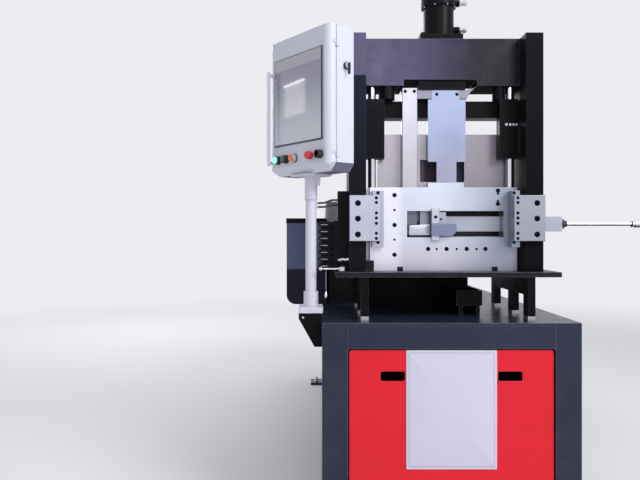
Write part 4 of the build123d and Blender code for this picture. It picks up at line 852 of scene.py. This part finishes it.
# Floor anchors: washer, hexagon nut and the stud's end, in each foot that reaches out
def floorAnchors():
    s = {"x": 0.545, "y": 1.3, "z": 0.020,
         "anchor": [(0, 0), (0.021, 0), (0.021, 0.003), (0.0155, 0.003), (0.0155, 0.016), (0.013, 0.018),
                    (0.0085, 0.018), (0.0085, 0.031), (0.0075, 0.033), (0, 0.033)]}
    anchor = turnedShape(s["anchor"], [0, 0, 0, 1, 1, 0, 0, 0, 0, 0])
    anchors = setAt(anchor, "+Z", everyPlace([-s["x"], s["x"]], [-s["y"], s["y"]], [s["z"]]))
    finishPiece("floor_anchors", [anchors], "zinc_steel", "frame")


# Quarter-turn locks at the corners of the side panels, and pressed louvres in the middle ones
def panelFittings():
    s = {"bays": np.array([-0.9667, 0, 0.9667]), "reach": np.array([-0.385, 0.385]), "z": (0.165, 0.720),
         "lock": [(0, 0), (0.014, 0), (0.014, 0.0016), (0.01204, 0.0030), (0.00476, 0.0030), (0.0042, 0.0012),
                  (0, 0.0012)],
         "louvre": (0.30, 0.017, 0.0062, 0.0075, 0.0058, 5), "louvreZ": 0.32 + 0.040 * np.arange(7)}
    low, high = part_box("cabinet_panels")
    lengths = (s["bays"][:, None] + s["reach"]).ravel()
    sides = (("+X", high.x), ("-X", low.x))
    locks = [setAt(turnedShape(s["lock"]), way, everyPlace([x], lengths, s["z"])) for way, x in sides]
    louvres = [setAt(slab(*s["louvre"]), way, everyPlace([x], [0.0], s["louvreZ"])) for way, x in sides]
    finishPiece("panel_locks", locks, "zinc_steel", "frame")
    finishPiece("panel_louvres", louvres, "side_paint", "frame", smooth=40)


# Screw beside the sign, the bracket's screw, and the tank's level gauge behind the panel
def frontFittings():
    s = {"panelScrew": (0.0052, 0.0012, 20), "panelAt": (0.1762, 0.6346),
         "bracketScrew": (0.0034, 0.0035, 20), "bracketAt": (-0.5756, 0.8754), "gaugeX": 0.09,
         "gauge": (0.034, 0.150, 0.012, 0.006, 0.002, 4), "glass": (0.014, 0.112, 0.0012, 0.004, 0.0004, 4)}
    x, z = s["panelAt"]
    screw = setAt(socketHead(*s["panelScrew"]), "-Y", [(x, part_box("front_panel")[0].y, z)])
    finishPiece("panel_screw", [screw], "screw_black", "front_panel")
    x, z = s["bracketAt"]
    screw = setAt(hexHead(*s["bracketScrew"]), "-Y", [(x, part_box("pole_bracket")[0].y, z)])
    finishPiece("bracket_screw", [screw], "zinc_steel", "frame")
    low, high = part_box("hydraulic_tank")
    centre = np.array([low.x + s["gaugeX"], low.y, (low.z + high.z) / 2])
    finishPiece("level_gauge", [setAt(slab(*s["gauge"]), "-Y", [centre])], "black_plastic", "frame")
    glass = setAt(slab(*s["glass"]), "-Y", [centre - [0, s["gauge"][2], 0]])
    amber = plastic("gaugeGlass", colour(206, 176, 96), 0.15, 0.8)
    finishPiece("gauge_glass", [glass], amber, "frame")


lineBolts()
cylinderFittings()
floorAnchors()
panelFittings()
frontFittings()
print("bolts, fittings, anchors, panel locks")


def areaLight(name, place, aim, size, power, tint=(1, 1, 1)):
    light = bpy.data.objects.new(name, bpy.data.lights.new(name, "AREA"))
    bpy.context.scene.collection.objects.link(light)
    light.data.shape = "RECTANGLE"
    light.data.size, light.data.size_y = size
    light.data.energy = power
    light.data.color = tint
    light.location = place
    light.rotation_euler = (mathutils.Vector(aim) - light.location).to_track_quat("-Z", "Y").to_euler()


# 1 for rays from the camera, and for what gloss and glass show
def seenRays(tree):
    path = addNode(tree, "ShaderNodeLightPath")
    total = path.outputs["Is Camera Ray"]
    for name in ("Is Glossy Ray", "Is Transmission Ray"):
        total = reckon(tree, "MAXIMUM", total, path.outputs[name])
    return total


# The second shader where the factor is 1, and the first elsewhere
def mixShaders(tree, factor, first, second, output):
    mix = addNode(tree, "ShaderNodeMixShader")
    for source, socket in zip((factor, first.outputs[0], second.outputs[0]), mix.inputs):
        tree.links.new(source, socket)
    tree.links.new(mix.outputs[0], output.inputs["Surface"])


# Key from the right, a card for the beam and one for the left side, light from above and from behind. The
# window card and its bright rail are there for the cabinet's glass
def makeLights():
    s = {"keyLight": ((3.6, -5.4, 4.6), (-0.2, -1.3, 1.2), (3.0, 2.4), 285),
         "beamCard": ((-0.1, -6.2, 3.1), (-0.2, -1.3, 1.9), (1.1, 1.0), 22, (0.92, 0.86, 1.0)),
         "sideCard": ((-4.4, -2.4, 2.4), (-0.6, -1.4, 1.7), (1.4, 1.5), 7),
         "windowCard": ((-4.001, -0.457, 2.480), (-3.303, 0.259, 2.480), (0.403, 0.293), 0.5,
                        (1.0, 0.97, 0.9)),
         "windowRail": ((-3.994, -0.450, 2.634), (-3.296, 0.266, 2.634), (0.403, 0.022), 0.15),
         "topLight": ((0.4, 0.2, 5.2), (0, 0, 0.8), (3.5, 4.5), 45),
         "backLight": ((-3.4, 5.6, 3.6), (0, 0.3, 0.7), (3.0, 2.4), 110)}
    for name, settings in s.items():
        areaLight(name, *settings)


# Soft studio: a world that lights gently and shows a pale backdrop, and a pale floor that fades into it
def makeStudio():
    s = {"backdrop": colour(236, 236, 241), "sky": (0.96, 0.97, 1.0, 1), "skyStrength": 0.45,
         "floor": colour(238, 238, 241), "floorRoughness": 0.7, "floorHalf": 40, "fade": (3.0, 9.0)}
    world = bpy.data.worlds.new("studio")
    bpy.context.scene.world = world
    world.use_nodes = True
    tree = world.node_tree
    tree.nodes.clear()
    output = addNode(tree, "ShaderNodeOutputWorld")
    light = addNode(tree, "ShaderNodeBackground", {"Color": s["sky"], "Strength": s["skyStrength"]})
    seen = addNode(tree, "ShaderNodeBackground", {"Color": s["backdrop"], "Strength": 1.0})
    mixShaders(tree, seenRays(tree), light, seen, output)
    material, tree, shader = startMaterial("floorPale")
    shader.inputs["Base Color"].default_value = s["floor"]
    shader.inputs["Roughness"].default_value = s["floorRoughness"]
    far = addNode(tree, "ShaderNodeEmission", {"Color": s["backdrop"], "Strength": 1.0})
    place = addNode(tree, "ShaderNodeTexCoord")
    reach = addNode(tree, "ShaderNodeVectorMath", {"operation": "LENGTH"})
    tree.links.new(place.outputs["Object"], reach.inputs[0])
    distance = spread(tree, reach.outputs["Value"], *s["fade"], soft=True)
    output = [n for n in tree.nodes if n.type == "OUTPUT_MATERIAL"][0]
    fade = reckon(tree, "MULTIPLY", distance, seenRays(tree), clamp=True)
    mixShaders(tree, fade, shader, far, output)
    half = s["floorHalf"]
    floorMesh = gridMesh("floor", everyPlace([-half, half], [-half, half], [0]).reshape(2, 2, 3))
    floorMesh.materials.append(material)
    floor = bpy.data.objects.new("floor", floorMesh)
    bpy.context.scene.collection.objects.link(floor)


makeLights()
makeStudio()
bpy.context.scene.view_settings.view_transform = "Standard"
print("studio")
